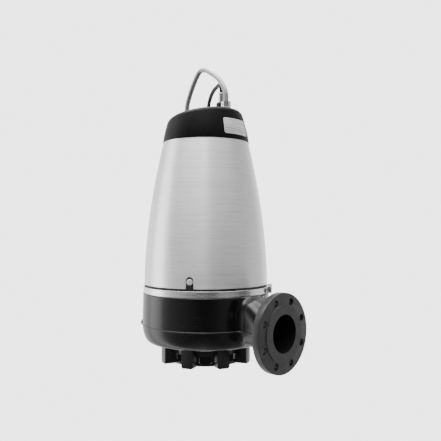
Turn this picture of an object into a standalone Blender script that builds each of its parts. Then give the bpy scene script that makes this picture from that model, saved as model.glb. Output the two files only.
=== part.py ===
"""A submersible drainage pump on its foot ring, with the outlet flange towards +X.

Metres, +Z up. The origin is on the floor, under the middle of the pump's box without its cable.
Every piece is modelled about the pump's own upright axis and hangs on one empty that stands on it.
Angles in degrees go round that axis, from the outlet towards +Y.
"""

import math

import bmesh
import bpy
from mathutils import Matrix, Vector

# Shared by all pieces
GAP = 0.0003                    # left between two pieces that touch
BIG_SEGMENTS = 60               # facets round the large turned pieces
MIDDLE_SEGMENTS = 40            # facets round the flange, the inlet and the cable coil
SMALL_SEGMENTS = 20             # facets round pins, bosses and bolt holes
SMOOTH_ANGLE = math.radians(35)
ROUTE_PARTS = 12                # between two points of a route, before its steps are evened out

# Outlet: bore, neck and bolted flange
OUTLET_REACH = 0.294            # pump axis to the sealing face
OUTLET_HEIGHT = 0.112           # floor to the middle of the bore
OUTLET_BORE_R = 0.052
THROAT_R = 0.038                # of the passage where it leaves the chamber, before it widens
FLANGE_R = 0.110
FLANGE_THICKNESS = 0.022        # without the raised sealing face
FLANGE_CHAMFER = 0.002
RAISED_FACE_R = 0.079
RAISED_FACE_STEP = 0.003
BOLT_CIRCLE_R = 0.090
BOLT_HOLE_R = 0.0095
BOLT_HOLES = 8
NECK_WALL = 0.010               # round the bore, where the neck meets the flange
NECK_ROOT_HALF_WIDTH = 0.058
NECK_ROOT_DROP = 0.0035         # top of the neck's root below the top of the housing
NECK_ROOT_BOTTOM = 0.067
NECK_ROOT_START = 0.139
NECK_STRAIGHT_END = 0.196       # pump axis to where the root starts to turn round
NECK_ROOT_SQUARENESS = 3.2      # 2 is an ellipse, more is squarer
NECK_STEPS = 5
NECK_SEGMENTS = 32

# Round housing: upright wall, parting ridge and bowl
HOUSING_LEDGE = 0.0011          # top of the wall past the clamp band
HOUSING_TAPER = 0.0017          # that the wall widens by, down to the parting ridge
HOUSING_TOP = 0.2055
HOUSING_EDGE = 0.002            # small chamfer at the top of the wall
RIDGE_PROUD = 0.0018            # of the wall
RIDGE_HALF_WIDTH = 0.0025
BOWL_START = 0.124              # height from which the bowl's curve is reckoned
BOWL_SQUARENESS = 2.5           # 2 is an ellipse, more is squarer
BOWL_BOTTOM_R = 0.1595
BOWL_STEPS = 6
HOUSING_BOTTOM = 0.058
CHAMBER_R = 0.135
CHAMBER_BOTTOM = 0.066
CHAMBER_TOP = 0.165
SUCTION_HOLE_R = 0.093
PLUG_ANGLES = (-136.0, 136.0)
PLUG_HEIGHT = 0.113             # of the plugs above the floor
PLUG_BOSS_R = 0.0095
PLUG_BOSS_PROUD = 0.0023        # of the wall
PLUG_FLATS = 0.013
PLUG_HEAD = 0.0025

# Clamp band and its bolted closure
BAND_PROUD = 0.0029             # of the foot of the sleeve
BAND_THICKNESS = 0.0021
BAND_HEIGHT = 0.018
BAND_CHAMFER = 0.0008
CLOSURE_ANGLE = 37.0
LOOP_SPREAD = 10.5              # degrees from the middle of the closure to each loop
LOOP_R = 0.0075
LOOP_OVERHANG = 0.0025          # of each loop above the band
CLOSURE_BOLT_R = 0.004
CLOSURE_NUT_FLATS = 0.013
CLOSURE_NUT_LENGTH = 0.008
CLOSURE_BOLT_END = 0.005        # thread past the nut

# Seal, sleeve and the motor housing inside it
SLEEVE_BOTTOM = 0.230
SLEEVE_TOP = 0.6547
SLEEVE_BOTTOM_R = 0.1855
SLEEVE_TOP_R = 0.1295
SLEEVE_CURVE = 1.79             # 1 is a cone, more bulges
SLEEVE_WALL = 0.003
SLEEVE_STEPS = 8
SLOT_STEPS = 12
SEAL_INSET = 0.001              # of the seal behind the foot of the sleeve
SLOT_ANGLES = (-60.0, 60.0, 180.0)
SLOT_HALF_WIDTH = 0.011
SLOT_TOP = 0.263
SLEEVE_SCREW_R = 0.0085
SLEEVE_SCREW_HEIGHT = 0.0034
SLEEVE_SCREW_DOME = 0.0012
SLEEVE_SCREW_DROP = 0.014       # middle of the screw below the top of its slot

# Top cover, its slanting top and the pads on it
COVER_OVERHANG = 0.0015         # past the top of the sleeve
COVER_CURVE_RISE = 0.0413       # above the sleeve, to where the cover becomes a plain cone
COVER_CURVE_R = 0.1233
COVER_STEPS = 4
COVER_CURVE = 1.39
COVER_CONE_SLOPE = 0.27         # radius lost for each metre of height
COVER_RISE = 0.0813             # top face above the sleeve, on the pump's axis
COVER_TOP_SLOPE = 0.152         # rise of the top face towards the outlet
COVER_ROUNDING = 0.013
COVER_ROUNDING_STEPS = 3
PAD_RISE = 0.0005               # of a pad's level top above the slanting face
PLATE_WIDTH = 0.094
PLATE_RISE = 0.0133             # foot of the plate above the sleeve
PLATE_HEIGHT = 0.047
PLATE_THICKNESS = 0.001
PLATE_CORNER = 0.006
PLATE_COLUMNS = 10
PLATE_ROWS = 4

# Lifting bracket, as points (distance towards the outlet, height above the cover on the axis), and its nuts
BRACKET_BAR_R = 0.0076
BRACKET_BAR_STEPS = 4           # on a quarter of its section, less one
BRACKET_STEP = 0.0102
BRACKET_FRONT_X = 0.082
BRACKET_BACK_X = -0.088
BRACKET_ROUTE = [
    (0.0820, 0.0360), (0.0820, 0.0509), (0.0801, 0.0630), (0.0753, 0.0757), (0.0673, 0.0891),
    (0.0570, 0.1030), (0.0412, 0.1180), (0.0166, 0.1349), (0.0018, 0.1436), (-0.0114, 0.1482),
    (-0.0266, 0.1455), (-0.0388, 0.1331), (-0.0536, 0.1108), (-0.0663, 0.0878), (-0.0771, 0.0642),
    (-0.0829, 0.0461),
]
NUT_FLATS = 0.025
NUT_HEIGHT = 0.020
NUT_PAD_R = 0.0155
NUT_TURN = -16.0                # of each nut round its bar, so that two corners face the sides of the view

# Cable gland
GLAND_X = 0.048
GLAND_Y = 0.0175
GLAND_PAD_R = 0.0195
GLAND_FLATS = 0.032
GLAND_HEX_HEIGHT = 0.014
GLAND_CAP_R = 0.0162
GLAND_RISE = 0.042              # top of the gland above the cover on the axis
GLAND_SLEEVE_R = 0.0085
GLAND_SLEEVE_LENGTH = 0.027

# Cable: points (distance from the pump's axis, angle, height) to the start of its coil
CABLE_R = 0.006
CABLE_SECTION_STEPS = 2         # on a quarter of its section, less one
CABLE_STEP = 0.026
CABLE_ROUTE = [
    (0.0511, 20.0, 0.8053), (0.0511, 20.0, 0.8120), (0.0478, 24.9, 0.8260), (0.0425, 38.6, 0.8348),
    (0.0405, 63.8, 0.8378), (0.0479, 88.3, 0.8382), (0.0621, 108.0, 0.8362), (0.0824, 120.0, 0.8300),
    (0.1034, 126.4, 0.8190), (0.1200, 129.7, 0.8020), (0.1326, 131.5, 0.7800), (0.1398, 132.3, 0.7550),
    (0.1418, 132.4, 0.7250), (0.1411, 131.9, 0.6900), (0.1433, 130.9, 0.6500), (0.1503, 129.4, 0.6000),
    (0.1634, 127.8, 0.5300), (0.1746, 126.0, 0.4600), (0.1836, 124.2, 0.3900), (0.1898, 122.5, 0.3200),
    (0.1942, 121.0, 0.2600), (0.1985, 119.8, 0.2100), (0.2030, 118.7, 0.1600), (0.2070, 117.9, 0.1150),
    (0.2094, 117.6, 0.0800), (0.2086, 118.4, 0.0530), (0.2058, 121.5, 0.0280), (0.2030, 126.0, 0.0130),
    (0.2012, 131.2, 0.0066), (0.2011, 135.4, 0.0063),
]
COIL_ANGLE = 134.0
COIL_NEAR_SIDE = 0.2073         # pump axis to the nearest side of the coil
COIL_MEAN_R = 0.089
COIL_COLUMNS = 4
COIL_ROWS = 4
COIL_CHAMFER = 0.003

# Suction cover, impeller and foot ring
SUCTION_BORE_R = 0.050
SUCTION_PLATE = 0.010           # thickness of its plate under the housing
SUCTION_COLLAR_R = 0.060
SUCTION_COLLAR_BOTTOM = 0.024
IMPELLER_R = 0.090
IMPELLER_HUB_R = 0.026
IMPELLER_BOTTOM = 0.071
IMPELLER_PLATE_BOTTOM = 0.142
IMPELLER_PLATE = 0.009
IMPELLER_VANES = 5
VANE_THICKNESS = 0.006
VANE_SWEEP = 70.0               # degrees that a vane turns between hub and rim
VANE_STEPS = 6
FOOT_WALL_R = 0.107
FOOT_WALL = 0.008
FOOT_WALL_BOTTOM = 0.0045
FOOT_R = 0.135                  # pump axis to the outer face of the legs
FOOT_TURN = -1.8                # degrees that the windows are turned from the outlet
LEGS = 8
LEG_WIDTH = 0.036
LEG_ROOT = 0.003                # of each leg inside the foot's wall
LEG_CORNER = 0.006
WINDOW_WIDTH = 0.0355
WINDOW_BOTTOM = 0.0085
WINDOW_TOP = 0.031
WINDOW_CORNER = 0.005
CORNER_STEPS = 3

# Worked out from the sizes above
BAND_R = SLEEVE_BOTTOM_R + BAND_PROUD
HOUSING_TOP_R = BAND_R + HOUSING_LEDGE
HOUSING_R = HOUSING_TOP_R + HOUSING_TAPER
RIDGE_R = HOUSING_R + RIDGE_PROUD
PLUG_BOSS_REACH = HOUSING_R + PLUG_BOSS_PROUD
PUMP_X = -(OUTLET_REACH - RIDGE_R) / 2
BAND_BOTTOM = HOUSING_TOP + GAP
JOINT_TOP = BAND_BOTTOM + BAND_HEIGHT
JOINT_R = BAND_R - BAND_THICKNESS - GAP
FLANGE_FRONT = OUTLET_REACH - RAISED_FACE_STEP
FLANGE_BACK = FLANGE_FRONT - FLANGE_THICKNESS
COVER_BOTTOM = SLEEVE_TOP + GAP
COVER_BOTTOM_R = SLEEVE_TOP_R + COVER_OVERHANG
COVER_CURVE_END = SLEEVE_TOP + COVER_CURVE_RISE
COVER_AXIS_HEIGHT = SLEEVE_TOP + COVER_RISE
PLATE_BOTTOM = SLEEVE_TOP + PLATE_RISE
GLAND_TOP = COVER_AXIS_HEIGHT + GLAND_RISE
CABLE_EXIT = GLAND_TOP + GLAND_SLEEVE_LENGTH
CORE_INSET = SLEEVE_WALL + GAP
SUCTION_PLATE_TOP = HOUSING_BOTTOM - GAP
FOOT_WALL_INNER_R = FOOT_WALL_R - FOOT_WALL
SUCTION_PLATE_R = FOOT_WALL_INNER_R - GAP
COIL_R = COIL_MEAN_R + COIL_COLUMNS * CABLE_R


def finish(name, colour, roughness, metallic):
    """A plain material of one colour, roughness and metallic value."""
    made = bpy.data.materials.new(name)
    made.use_nodes = True
    shader = made.node_tree.nodes["Principled BSDF"]
    shader.inputs["Base Color"].default_value = (*colour, 1.0)
    shader.inputs["Roughness"].default_value = roughness
    shader.inputs["Metallic"].default_value = metallic
    made.diffuse_color = (*colour, 1.0)
    return made


def add_piece(name, shape, material, parent):
    """One named object of a bmesh, a mesh or a curve, on the pump's axis."""
    data = to_mesh(name, shape) if isinstance(shape, bmesh.types.BMesh) else shape
    data.name = name
    data.materials.clear()
    data.materials.append(material)
    piece = bpy.data.objects.new(name, data)
    bpy.context.scene.collection.objects.link(piece)
    piece.parent = parent
    return piece


def to_mesh(name, bm):
    """A smooth-shaded mesh with its faces pointing out."""
    bmesh.ops.recalc_face_normals(bm, faces=bm.faces)
    mesh = bpy.data.meshes.new(name)
    bm.to_mesh(mesh)
    bm.free()
    mesh.shade_smooth()
    mesh.set_sharp_from_angle(angle=SMOOTH_ANGLE)
    return mesh


def combine(name, base, tools):
    """The base shape after each (operation, shape) of tools has been joined to it or cut from it."""
    helpers = [bpy.data.objects.new(name, to_mesh(name, base))]
    for operation, tool in tools:
        helper = bpy.data.objects.new(name + "_tool", to_mesh(name + "_tool", tool))
        step = helpers[0].modifiers.new(operation.lower(), "BOOLEAN")
        step.operation = operation
        step.object = helper
        helpers.append(helper)
    for helper in helpers:
        bpy.context.scene.collection.objects.link(helper)
    graph = bpy.context.evaluated_depsgraph_get()
    mesh = bpy.data.meshes.new_from_object(helpers[0].evaluated_get(graph))
    for helper in helpers:
        bpy.data.objects.remove(helper)
    mesh.shade_smooth()
    mesh.set_sharp_from_angle(angle=SMOOTH_ANGLE)
    return mesh


def joined(shapes):
    """Several shapes that don't touch, in one bmesh."""
    whole = bmesh.new()
    for shape in shapes:
        part = bpy.data.meshes.new("part")
        shape.to_mesh(part)
        shape.free()
        whole.from_mesh(part)
        bpy.data.meshes.remove(part)
    return whole


def placed(bm, matrix):
    """The same shape, moved."""
    bmesh.ops.transform(bm, matrix=matrix, verts=bm.verts)
    return bm


def placed_mesh(mesh, matrix):
    """The same mesh, moved."""
    mesh.transform(matrix)
    return mesh


def turned(profile, segments, ring=False):
    """A shape turned about Z from (radius, height) points; a ring also joins its last point to its first."""
    bm = bmesh.new()
    corners = [bm.verts.new((radius, 0.0, height)) for radius, height in profile]
    pairs = list(zip(corners, corners[1:]))
    if ring:
        pairs.append((corners[-1], corners[0]))
    edges = [bm.edges.new(pair) for pair in pairs]
    bmesh.ops.spin(
        bm, geom=corners + edges, cent=(0, 0, 0), axis=(0, 0, 1), angle=math.tau, steps=segments,
        use_merge=True,
    )
    bmesh.ops.remove_doubles(bm, verts=bm.verts, dist=1e-6)
    return bm


def upright(radius, bottom, top, segments=SMALL_SEGMENTS):
    """A plain cylinder about Z."""
    return turned([(0.0, top), (radius, top), (radius, bottom), (0.0, bottom)], segments)


def prism(outline, bottom, top):
    """A flat outline of (x, y) points, raised between two heights."""
    bm = bmesh.new()
    rings = [[bm.verts.new((x, y, height)) for x, y in outline] for height in (bottom, top)]
    for place in range(len(outline)):
        following = (place + 1) % len(outline)
        bm.faces.new((rings[0][place], rings[0][following], rings[1][following], rings[1][place]))
    for ring in rings:
        bm.faces.new(ring)
    return bm


def hexagon(flats):
    """The outline of a hexagon of this size across its flats."""
    corner_r = flats / math.sqrt(3)
    return [(corner_r * math.cos(math.tau * k / 6), corner_r * math.sin(math.tau * k / 6)) for k in range(6)]


def rounded_box(width, low, high, corner):
    """An outline of (x, y) points, centred on x, with its four corners rounded."""
    side = width / 2 - corner
    points = []
    corners = [(side, high - corner), (-side, high - corner), (-side, low + corner), (side, low + corner)]
    for turn, (x, y) in enumerate(corners):
        for step in range(CORNER_STEPS + 1):
            angle = math.radians(90 * (turn + step / CORNER_STEPS))
            points.append((x + corner * math.cos(angle), y + corner * math.sin(angle)))
    return points


def spoke(angle):
    """Turns local X to point away from the pump's axis at this angle in degrees."""
    return Matrix.Rotation(math.radians(angle), 4, "Z")


def outward(angle):
    """Turns local Z to point away from the pump's axis at this angle, with local Y sideways."""
    return spoke(angle) @ Matrix.Rotation(math.pi / 2, 4, "Y")


def standing(angle):
    """Turns a flat outline so that its x runs sideways, its y up and its depth away from the axis."""
    return spoke(angle) @ Matrix(((0, 0, 1, 0), (1, 0, 0, 0), (0, 1, 0, 0), (0, 0, 0, 1)))


def sleeve_radius(height):
    """Outer radius of the sleeve at a height."""
    share = max(0.0, (height - SLEEVE_BOTTOM) / (SLEEVE_TOP - SLEEVE_BOTTOM))
    return SLEEVE_BOTTOM_R - (SLEEVE_BOTTOM_R - SLEEVE_TOP_R) * share ** SLEEVE_CURVE


def cover_radius(height):
    """Outer radius of the top cover at a height below its rounded rim."""
    if height >= COVER_CURVE_END:
        return COVER_CURVE_R - COVER_CONE_SLOPE * (height - COVER_CURVE_END)
    share = max(0.0, (height - COVER_BOTTOM) / (COVER_CURVE_END - COVER_BOTTOM))
    return COVER_BOTTOM_R - (COVER_BOTTOM_R - COVER_CURVE_R) * share ** COVER_CURVE


def pad_top(x, radius):
    """Height of the level top of a pad on the slanting cover."""
    return COVER_AXIS_HEIGHT + COVER_TOP_SLOPE * (x + radius) + PAD_RISE


def smooth_route(points, step):
    """Points at about equal steps along a smooth curve through the given ones."""
    spots = [Vector(point) for point in points]
    spots = [2 * spots[0] - spots[1]] + spots + [2 * spots[-1] - spots[-2]]
    fine = []
    for before, start, end, after in zip(spots, spots[1:], spots[2:], spots[3:]):
        for k in range(ROUTE_PARTS):
            t = k / ROUTE_PARTS
            fine.append(
                0.5 * (2 * start + (end - before) * t + (2 * before - 5 * start + 4 * end - after) * t ** 2
                       + (3 * start - before - 3 * end + after) * t ** 3)
            )
    fine.append(spots[-2])
    lengths = [0.0]
    for start, end in zip(fine, fine[1:]):
        lengths.append(lengths[-1] + (end - start).length)
    count = max(2, round(lengths[-1] / step))
    route = []
    place = 0
    for k in range(count + 1):
        target = lengths[-1] * k / count
        while place < len(fine) - 2 and lengths[place + 1] < target:
            place += 1
        share = (target - lengths[place]) / (lengths[place + 1] - lengths[place])
        route.append(fine[place].lerp(fine[place + 1], share))
    return route


def tube(name, points, radius, resolution):
    """A round bar or cable along the points, with closed ends."""
    data = bpy.data.curves.new(name, "CURVE")
    data.dimensions = "3D"
    data.bevel_depth = radius
    data.bevel_resolution = resolution
    data.use_fill_caps = True
    line = data.splines.new("POLY")
    line.points.add(len(points) - 1)
    for spot, place in zip(line.points, points):
        spot.co = (*place, 1.0)
    return data


def housing_body():
    """The round body: joint, slightly tapered wall, parting ridge and bowl."""
    profile = [(0.0, JOINT_TOP), (JOINT_R, JOINT_TOP), (JOINT_R, HOUSING_TOP)]
    profile += [(HOUSING_TOP_R - HOUSING_EDGE, HOUSING_TOP), (HOUSING_TOP_R, HOUSING_TOP - HOUSING_EDGE)]
    profile += [(HOUSING_R, OUTLET_HEIGHT + RIDGE_HALF_WIDTH), (RIDGE_R, OUTLET_HEIGHT)]
    bowl_depth = BOWL_START - HOUSING_BOTTOM
    ridge_share = (BOWL_START - OUTLET_HEIGHT + RIDGE_HALF_WIDTH) / bowl_depth
    start = math.asin(ridge_share ** (BOWL_SQUARENESS / 2))
    for step in range(BOWL_STEPS + 1):
        angle = start + (math.radians(90) - start) * step / BOWL_STEPS
        out = max(0.0, math.cos(angle)) ** (2 / BOWL_SQUARENESS)
        down = math.sin(angle) ** (2 / BOWL_SQUARENESS)
        radius = BOWL_BOTTOM_R + (HOUSING_R - BOWL_BOTTOM_R) * out
        profile.append((radius, BOWL_START - bowl_depth * down))
    profile.append((0.0, HOUSING_BOTTOM))
    return turned(profile, BIG_SEGMENTS)


def outlet_neck():
    """The neck, tall and squarish at the body and round at the flange."""
    root_top = HOUSING_TOP - NECK_ROOT_DROP
    root_half_height = (root_top - NECK_ROOT_BOTTOM) / 2
    root = Vector((NECK_ROOT_HALF_WIDTH, root_half_height, NECK_ROOT_BOTTOM + root_half_height))
    end_r = OUTLET_BORE_R + NECK_WALL
    end = Vector((end_r, end_r, OUTLET_HEIGHT))
    turning = FLANGE_BACK + FLANGE_CHAMFER - NECK_STRAIGHT_END
    shares = [k / NECK_STEPS for k in range(NECK_STEPS + 1)]
    stations = [(NECK_ROOT_START, 0.0)]
    stations += [(NECK_STRAIGHT_END + turning * share, share) for share in shares]
    bm = bmesh.new()
    rings = []
    for x, share in stations:
        blend = share * share * (3 - 2 * share)
        half_width, half_height, middle = root.lerp(end, blend)
        power = 2 / (NECK_ROOT_SQUARENESS + (2 - NECK_ROOT_SQUARENESS) * blend)
        ring = []
        for k in range(NECK_SEGMENTS):
            across = math.cos(math.tau * k / NECK_SEGMENTS)
            up = math.sin(math.tau * k / NECK_SEGMENTS)
            y = half_width * math.copysign(abs(across) ** power, across)
            z = middle + half_height * math.copysign(abs(up) ** power, up)
            ring.append(bm.verts.new((x, y, z)))
        rings.append(ring)
    for ring, following in zip(rings, rings[1:]):
        for k in range(NECK_SEGMENTS):
            nxt = (k + 1) % NECK_SEGMENTS
            bm.faces.new((ring[k], ring[nxt], following[nxt], following[k]))
    bm.faces.new(rings[0])
    bm.faces.new(rings[-1])
    return bm


def outlet_flange():
    """The round flange with its raised sealing face."""
    profile = [(0.0, OUTLET_REACH), (RAISED_FACE_R, OUTLET_REACH), (RAISED_FACE_R, FLANGE_FRONT)]
    profile += [(FLANGE_R - FLANGE_CHAMFER, FLANGE_FRONT), (FLANGE_R, FLANGE_FRONT - FLANGE_CHAMFER)]
    profile += [(FLANGE_R, FLANGE_BACK + FLANGE_CHAMFER), (FLANGE_R - FLANGE_CHAMFER, FLANGE_BACK)]
    profile.append((0.0, FLANGE_BACK))
    return placed(turned(profile, MIDDLE_SEGMENTS), Matrix.Translation((0, 0, OUTLET_HEIGHT)) @ outward(0.0))


def bolt_hole_cutters():
    """One pin through the flange for each bolt hole, straddling the upright."""
    cutters = []
    for k in range(BOLT_HOLES):
        angle = math.tau * (k + 0.5) / BOLT_HOLES
        height = OUTLET_HEIGHT + BOLT_CIRCLE_R * math.sin(angle)
        across = Vector((0.0, BOLT_CIRCLE_R * math.cos(angle), height))
        pin = upright(BOLT_HOLE_R, FLANGE_BACK - FLANGE_THICKNESS, OUTLET_REACH + FLANGE_THICKNESS)
        cutters.append(placed(pin, Matrix.Translation(across) @ outward(0.0)))
    return joined(cutters)


def add_housing(parent, iron):
    """The cast housing, hollow inside, with its neck, flange and two plug bosses."""
    bosses = [
        placed(
            upright(PLUG_BOSS_R, CHAMBER_R + NECK_WALL, PLUG_BOSS_REACH),
            Matrix.Translation((0, 0, PLUG_HEIGHT)) @ outward(angle),
        )
        for angle in PLUG_ANGLES
    ]
    below = HOUSING_BOTTOM - SUCTION_PLATE
    chamber = turned(
        [(0.0, CHAMBER_TOP), (CHAMBER_R, CHAMBER_TOP), (CHAMBER_R, CHAMBER_BOTTOM),
         (SUCTION_HOLE_R, CHAMBER_BOTTOM), (SUCTION_HOLE_R, below), (0.0, below)],
        BIG_SEGMENTS,
    )
    bore_start = SUCTION_HOLE_R + NECK_WALL
    bore_end = OUTLET_REACH + FLANGE_THICKNESS
    bore = turned(
        [(0.0, bore_end), (OUTLET_BORE_R, bore_end), (OUTLET_BORE_R, FLANGE_BACK), (THROAT_R, NECK_STRAIGHT_END),
         (THROAT_R, bore_start), (0.0, bore_start)],
        MIDDLE_SEGMENTS,
    )
    bore = placed(bore, Matrix.Translation((0, 0, OUTLET_HEIGHT)) @ outward(0.0))
    shape = combine(
        "pump_housing",
        housing_body(),
        [("UNION", outlet_neck()), ("UNION", outlet_flange()), ("UNION", joined(bosses)),
         ("DIFFERENCE", chamber), ("DIFFERENCE", bore), ("DIFFERENCE", bolt_hole_cutters())],
    )
    add_piece("pump_housing", shape, iron, parent)


def add_plugs(parent, steel):
    """A hexagon plug in each boss."""
    start = PLUG_BOSS_REACH + GAP
    for number, angle in enumerate(PLUG_ANGLES, 1):
        head = prism(hexagon(PLUG_FLATS), start, start + PLUG_HEAD)
        place = Matrix.Translation((0, 0, PLUG_HEIGHT)) @ outward(angle)
        add_piece(f"housing_plug_{number}", placed(head, place), steel, parent)


def add_band(parent, steel):
    """The clamp band with its two loops, bolt and nut."""
    inner = BAND_R - BAND_THICKNESS
    top = BAND_BOTTOM + BAND_HEIGHT
    band = turned(
        [(inner, top), (BAND_R - BAND_CHAMFER, top), (BAND_R, top - BAND_CHAMFER),
         (BAND_R, BAND_BOTTOM + BAND_CHAMFER), (BAND_R - BAND_CHAMFER, BAND_BOTTOM), (inner, BAND_BOTTOM)],
        BIG_SEGMENTS,
        ring=True,
    )
    add_piece("clamp_band", band, steel, parent)

    loop_middle_r = BAND_R + GAP + LOOP_R
    half_span = loop_middle_r * math.sin(math.radians(LOOP_SPREAD))
    bolt_middle_r = loop_middle_r * math.cos(math.radians(LOOP_SPREAD))
    middle_height = BAND_BOTTOM + BAND_HEIGHT / 2
    middle = spoke(CLOSURE_ANGLE) @ Matrix.Translation((bolt_middle_r, 0, middle_height))
    along = middle @ Matrix.Rotation(-math.pi / 2, 4, "X")
    bolt_start = -half_span + LOOP_R + GAP
    nut_start = half_span + LOOP_R + GAP
    nut_end = nut_start + CLOSURE_NUT_LENGTH
    for name, side in (("clamp_loop_1", -1), ("clamp_loop_2", 1)):
        loop = upright(LOOP_R, BAND_BOTTOM, top + LOOP_OVERHANG)
        place = spoke(CLOSURE_ANGLE) @ Matrix.Translation((bolt_middle_r, side * half_span, 0))
        shape = placed(loop, place)
        if side > 0:
            passage = upright(CLOSURE_BOLT_R + GAP, half_span - 2 * LOOP_R, half_span + 2 * LOOP_R)
            shape = combine(name, shape, [("DIFFERENCE", placed(passage, along))])
        add_piece(name, shape, steel, parent)
    bolt = upright(CLOSURE_BOLT_R, bolt_start, nut_end + CLOSURE_BOLT_END)
    add_piece("clamp_bolt", placed(bolt, along), steel, parent)
    nut = prism(hexagon(CLOSURE_NUT_FLATS), nut_start, nut_end)
    hole = upright(CLOSURE_BOLT_R + GAP, nut_start - LOOP_R, nut_end + LOOP_R)
    shape = combine("clamp_nut", nut, [("DIFFERENCE", hole)])
    add_piece("clamp_nut", placed_mesh(shape, along), steel, parent)


def add_sleeve(parent, steel, dark, rubber):
    """The seal, the motor housing and the polished sleeve round it, with its slots and screws."""
    step_height = (SLEEVE_TOP - SLEEVE_BOTTOM) / SLEEVE_STEPS
    heights = [SLEEVE_TOP - step_height * k for k in range(SLEEVE_STEPS + 1)]
    core = [(0.0, SLEEVE_TOP)] + [(sleeve_radius(z) - CORE_INSET, z) for z in heights]
    core += [(SLEEVE_BOTTOM_R - CORE_INSET, JOINT_TOP + GAP), (0.0, JOINT_TOP + GAP)]
    add_piece("motor_housing", turned(core, BIG_SEGMENTS), dark, parent)

    seal_inner = SLEEVE_BOTTOM_R - CORE_INSET + GAP
    seal_outer = SLEEVE_BOTTOM_R - SEAL_INSET
    seal = turned(
        [(seal_inner, SLEEVE_BOTTOM - GAP), (seal_outer, SLEEVE_BOTTOM - GAP),
         (seal_outer, JOINT_TOP + GAP), (seal_inner, JOINT_TOP + GAP)],
        BIG_SEGMENTS,
        ring=True,
    )
    add_piece("sleeve_seal", seal, rubber, parent)

    outer = [(sleeve_radius(z), z) for z in heights]
    inner = [(sleeve_radius(z) - SLEEVE_WALL, z) for z in reversed(heights)]
    slot_round_height = SLOT_TOP - SLOT_HALF_WIDTH
    outline = [(SLOT_HALF_WIDTH, SLEEVE_BOTTOM - SLOT_HALF_WIDTH)]
    for step in range(SLOT_STEPS + 1):
        angle = math.pi * step / SLOT_STEPS
        rise = SLOT_HALF_WIDTH * math.sin(angle)
        outline.append((SLOT_HALF_WIDTH * math.cos(angle), slot_round_height + rise))
    outline.append((-SLOT_HALF_WIDTH, SLEEVE_BOTTOM - SLOT_HALF_WIDTH))
    reach = 4 * SLEEVE_WALL
    slots = [
        placed(prism(outline, SLEEVE_BOTTOM_R - reach, SLEEVE_BOTTOM_R + reach), standing(angle))
        for angle in SLOT_ANGLES
    ]
    shell = turned(outer + inner, BIG_SEGMENTS, ring=True)
    sleeve = combine("motor_sleeve", shell, [("DIFFERENCE", joined(slots))])
    add_piece("motor_sleeve", sleeve, steel, parent)

    screw_height = SLOT_TOP - SLEEVE_SCREW_DROP
    for number, angle in enumerate(SLOT_ANGLES, 1):
        start = SLEEVE_BOTTOM_R - CORE_INSET + GAP
        end = start + SLEEVE_SCREW_HEIGHT
        head = turned(
            [(0.0, end), (SLEEVE_SCREW_R - SLEEVE_SCREW_DOME, end), (SLEEVE_SCREW_R, end - SLEEVE_SCREW_DOME),
             (SLEEVE_SCREW_R, start), (0.0, start)],
            SMALL_SEGMENTS,
        )
        place = Matrix.Translation((0, 0, screw_height)) @ outward(angle)
        add_piece(f"sleeve_screw_{number}", placed(head, place), steel, parent)


def add_cover(parent, black):
    """The cone-shaped cover, cut by its slanting top, with a pad for each nut and for the gland."""
    profile = [(0.0, COVER_BOTTOM)]
    for step in range(COVER_STEPS + 1):
        height = COVER_BOTTOM + (COVER_CURVE_END - COVER_BOTTOM) * step / COVER_STEPS
        profile.append((cover_radius(height), height))
    peak = COVER_AXIS_HEIGHT + 2 * COVER_TOP_SLOPE * COVER_BOTTOM_R
    profile += [(cover_radius(peak), peak), (0.0, peak)]
    cone = turned(profile, BIG_SEGMENTS)
    level = Vector((0, 0, COVER_AXIS_HEIGHT))
    upward = Vector((-COVER_TOP_SLOPE, 0, 1)).normalized()
    everything = list(cone.verts) + list(cone.edges) + list(cone.faces)
    cut = bmesh.ops.bisect_plane(cone, geom=everything, plane_co=level, plane_no=upward, clear_outer=True)
    rim = [item for item in cut["geom_cut"] if isinstance(item, bmesh.types.BMEdge)]
    bmesh.ops.holes_fill(cone, edges=rim, sides=0)
    bmesh.ops.bevel(
        cone, geom=rim, offset=COVER_ROUNDING, segments=COVER_ROUNDING_STEPS, profile=0.5, affect="EDGES"
    )
    pads = []
    for x, y, radius in (
        (BRACKET_FRONT_X, 0.0, NUT_PAD_R), (BRACKET_BACK_X, 0.0, NUT_PAD_R), (GLAND_X, GLAND_Y, GLAND_PAD_R)
    ):
        pad = upright(radius, COVER_CURVE_END, pad_top(x, radius))
        pads.append(placed(pad, Matrix.Translation((x, y, 0))))
    add_piece("top_cover", combine("top_cover", cone, [("UNION", joined(pads))]), black, parent)


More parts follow.
